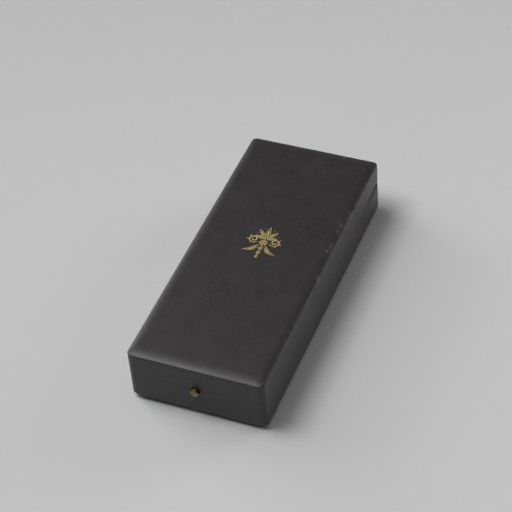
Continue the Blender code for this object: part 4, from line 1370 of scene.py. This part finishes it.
def pucker(point, half_x, half_y):
    """How deep the cloth is drawn in at a place, in folds that run in from the edge."""
    gap_x, gap_y = half_x - abs(point.x), half_y - abs(point.y)
    edge, along = (gap_x, point.y) if gap_x < gap_y else (gap_y, point.x)
    drift = noise.noise(Vector((along * DRIFT_ALONG, edge * DRIFT_INWARDS, 3.0)))
    turn = along / PUCKER_PITCH + PUCKER_DRIFT * drift
    fold = 0.5 + 0.5 * math.sin(math.tau * turn)
    difference = noise.noise(Vector((along * DIFFERENCE_SCALE, 7.0, 0.0)))
    strength = 1 - PUCKER_DIFFERENCE * (1 - difference)
    return PUCKER_DEPTH * strength * fold * math.exp(-max(edge, 0) / PUCKER_REACH)


def stuffed_pad(name, node, cloth, body, upwards):
    """A stuffed pad in the box of a CAD pad, with puckers round its edge."""
    low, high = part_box(node)
    half_x, half_y, thick = high.x, high.y, high.z - low.z
    shoulder = PAD_SHOULDER * thick
    pad_form = stuffed(card_form(half_x - PAD_INSET, half_y - PAD_INSET, shoulder))
    bmesh.ops.subdivide_edges(pad_form, edges=pad_form.edges[:], cuts=1, smooth=1.0,
                              use_grid_fill=True)
    crest = max(vertex.co.z for vertex in pad_form.verts)
    print(name, "swelled to", round(crest * 1000, 2), "mm")
    print("and is brought down to", round(thick * 1000, 2), "mm")
    for vertex in pad_form.verts:
        point = vertex.co
        if point.z > shoulder:
            point.z = shoulder + (thick - shoulder) * (point.z - shoulder) / (crest - shoulder)
        if point.z > shoulder / 2:
            point.z -= pucker(point, half_x, half_y)
        point.x = math.copysign(min(abs(point.x), half_x), point.x)
        point.y = math.copysign(min(abs(point.y), half_y), point.y)
        point.z = low.z + point.z if upwards else high.z - point.z
    pad = new_object(name, pad_form, cloth)
    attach(pad, body)
    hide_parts(node)
    return pad


bed = stuffed_pad("bed_cushion", "bed_pad", blue_velvet, "base", True)
lid_cushion = stuffed_pad("lid_cushion", "lid_pad", ivory_silk, "lid", False)
print("pads:", bed.name, lid_cushion.name)

# %% [markdown]
# ## Wood, paper and the metal fittings
#
# The CAD pieces that keep their shape only need finishes. The carcass is lime wood, whose faint
# grain runs along each board, so there is one finish for boards along the case and one for boards
# across it. The panel underneath is covered in black paper with short fibres.

# %% Wood and paper
WOOD_PALE = (0.60, 0.45, 0.28)
WOOD_DARK = (0.42, 0.29, 0.16)
PAPER_DARK = (0.014, 0.013, 0.013)
PAPER_FIBRE = (0.030, 0.028, 0.027)
FIGURE_SCALE = 420.0
PORE_SCALE = 2600.0
FIBRE_SCALE = 1800.0
FIBRE_DEPTH = 0.00004
WOOD_ROUGHNESS = (0.58, 0.76)
PAPER_ROUGHNESS = (0.78, 0.92)


def lime_wood(name, stretch):
    """Plain wood whose grain runs along the axis that is stretched least."""
    wood = new_finish(name, WOOD_PALE, 0.65)
    figure = pattern(wood, NOISE, FIGURE_SCALE, stretch, detail=6.0)
    pores = pattern(wood, NOISE, PORE_SCALE, stretch, detail=2.0)
    colour = tinted(wood, spread(wood, figure, 0.0, 1.0), WOOD_PALE, WOOD_DARK)
    roughness = spread(wood, pores, *WOOD_ROUGHNESS)
    return dress(wood, colour, roughness, relief(wood, pores, FIBRE_DEPTH))


def black_paper():
    """Matt black paper with short fibres."""
    paper = new_finish("black_paper", PAPER_DARK, 0.85)
    fibres = pattern(paper, NOISE, FIBRE_SCALE, (1, 0.25, 1), detail=5.0)
    colour = tinted(paper, spread(paper, fibres, 0.0, 1.0), PAPER_DARK, PAPER_FIBRE)
    roughness = spread(paper, fibres, *PAPER_ROUGHNESS)
    return dress(paper, colour, roughness, relief(paper, fibres, FIBRE_DEPTH))


wood_along = lime_wood("lime_wood_along", (1, 0.06, 1))
wood_across = lime_wood("lime_wood_across", (0.06, 1, 1))
paper = black_paper()
print("wood grain along the boards, paper underneath")

# %% Finishes for the CAD pieces
BY_NAME = (
    ("front_board", wood_across), ("back_board", wood_across), ("board", wood_along),
    ("panel", paper), ("screw", steel), ("pin", steel), ("hinge_leaf", brass), ("keeper", brass),
)
for name, node in frame["nodes"].items():
    if node.hide_render:
        continue
    material = next(finish for word, finish in BY_NAME if word in name)
    node.data.materials.clear()
    node.data.materials.append(material)
print("CAD pieces in view:", sum(not node.hide_render for node in frame["nodes"].values()))

# %% [markdown]
# ## Size
#
# The dressed case must be as large as the CAD model. Both boxes are printed, so that they can be
# compared.

# %% Size
import json

full_low, full_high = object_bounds()
sizes = {"cad": [list(cad_low), list(cad_high)], "visual": [list(full_low), list(full_high)]}
for which, (low, high) in sizes.items():
    print(which, "size in metres:", [round(b - a, 4) for a, b in zip(low, high)])
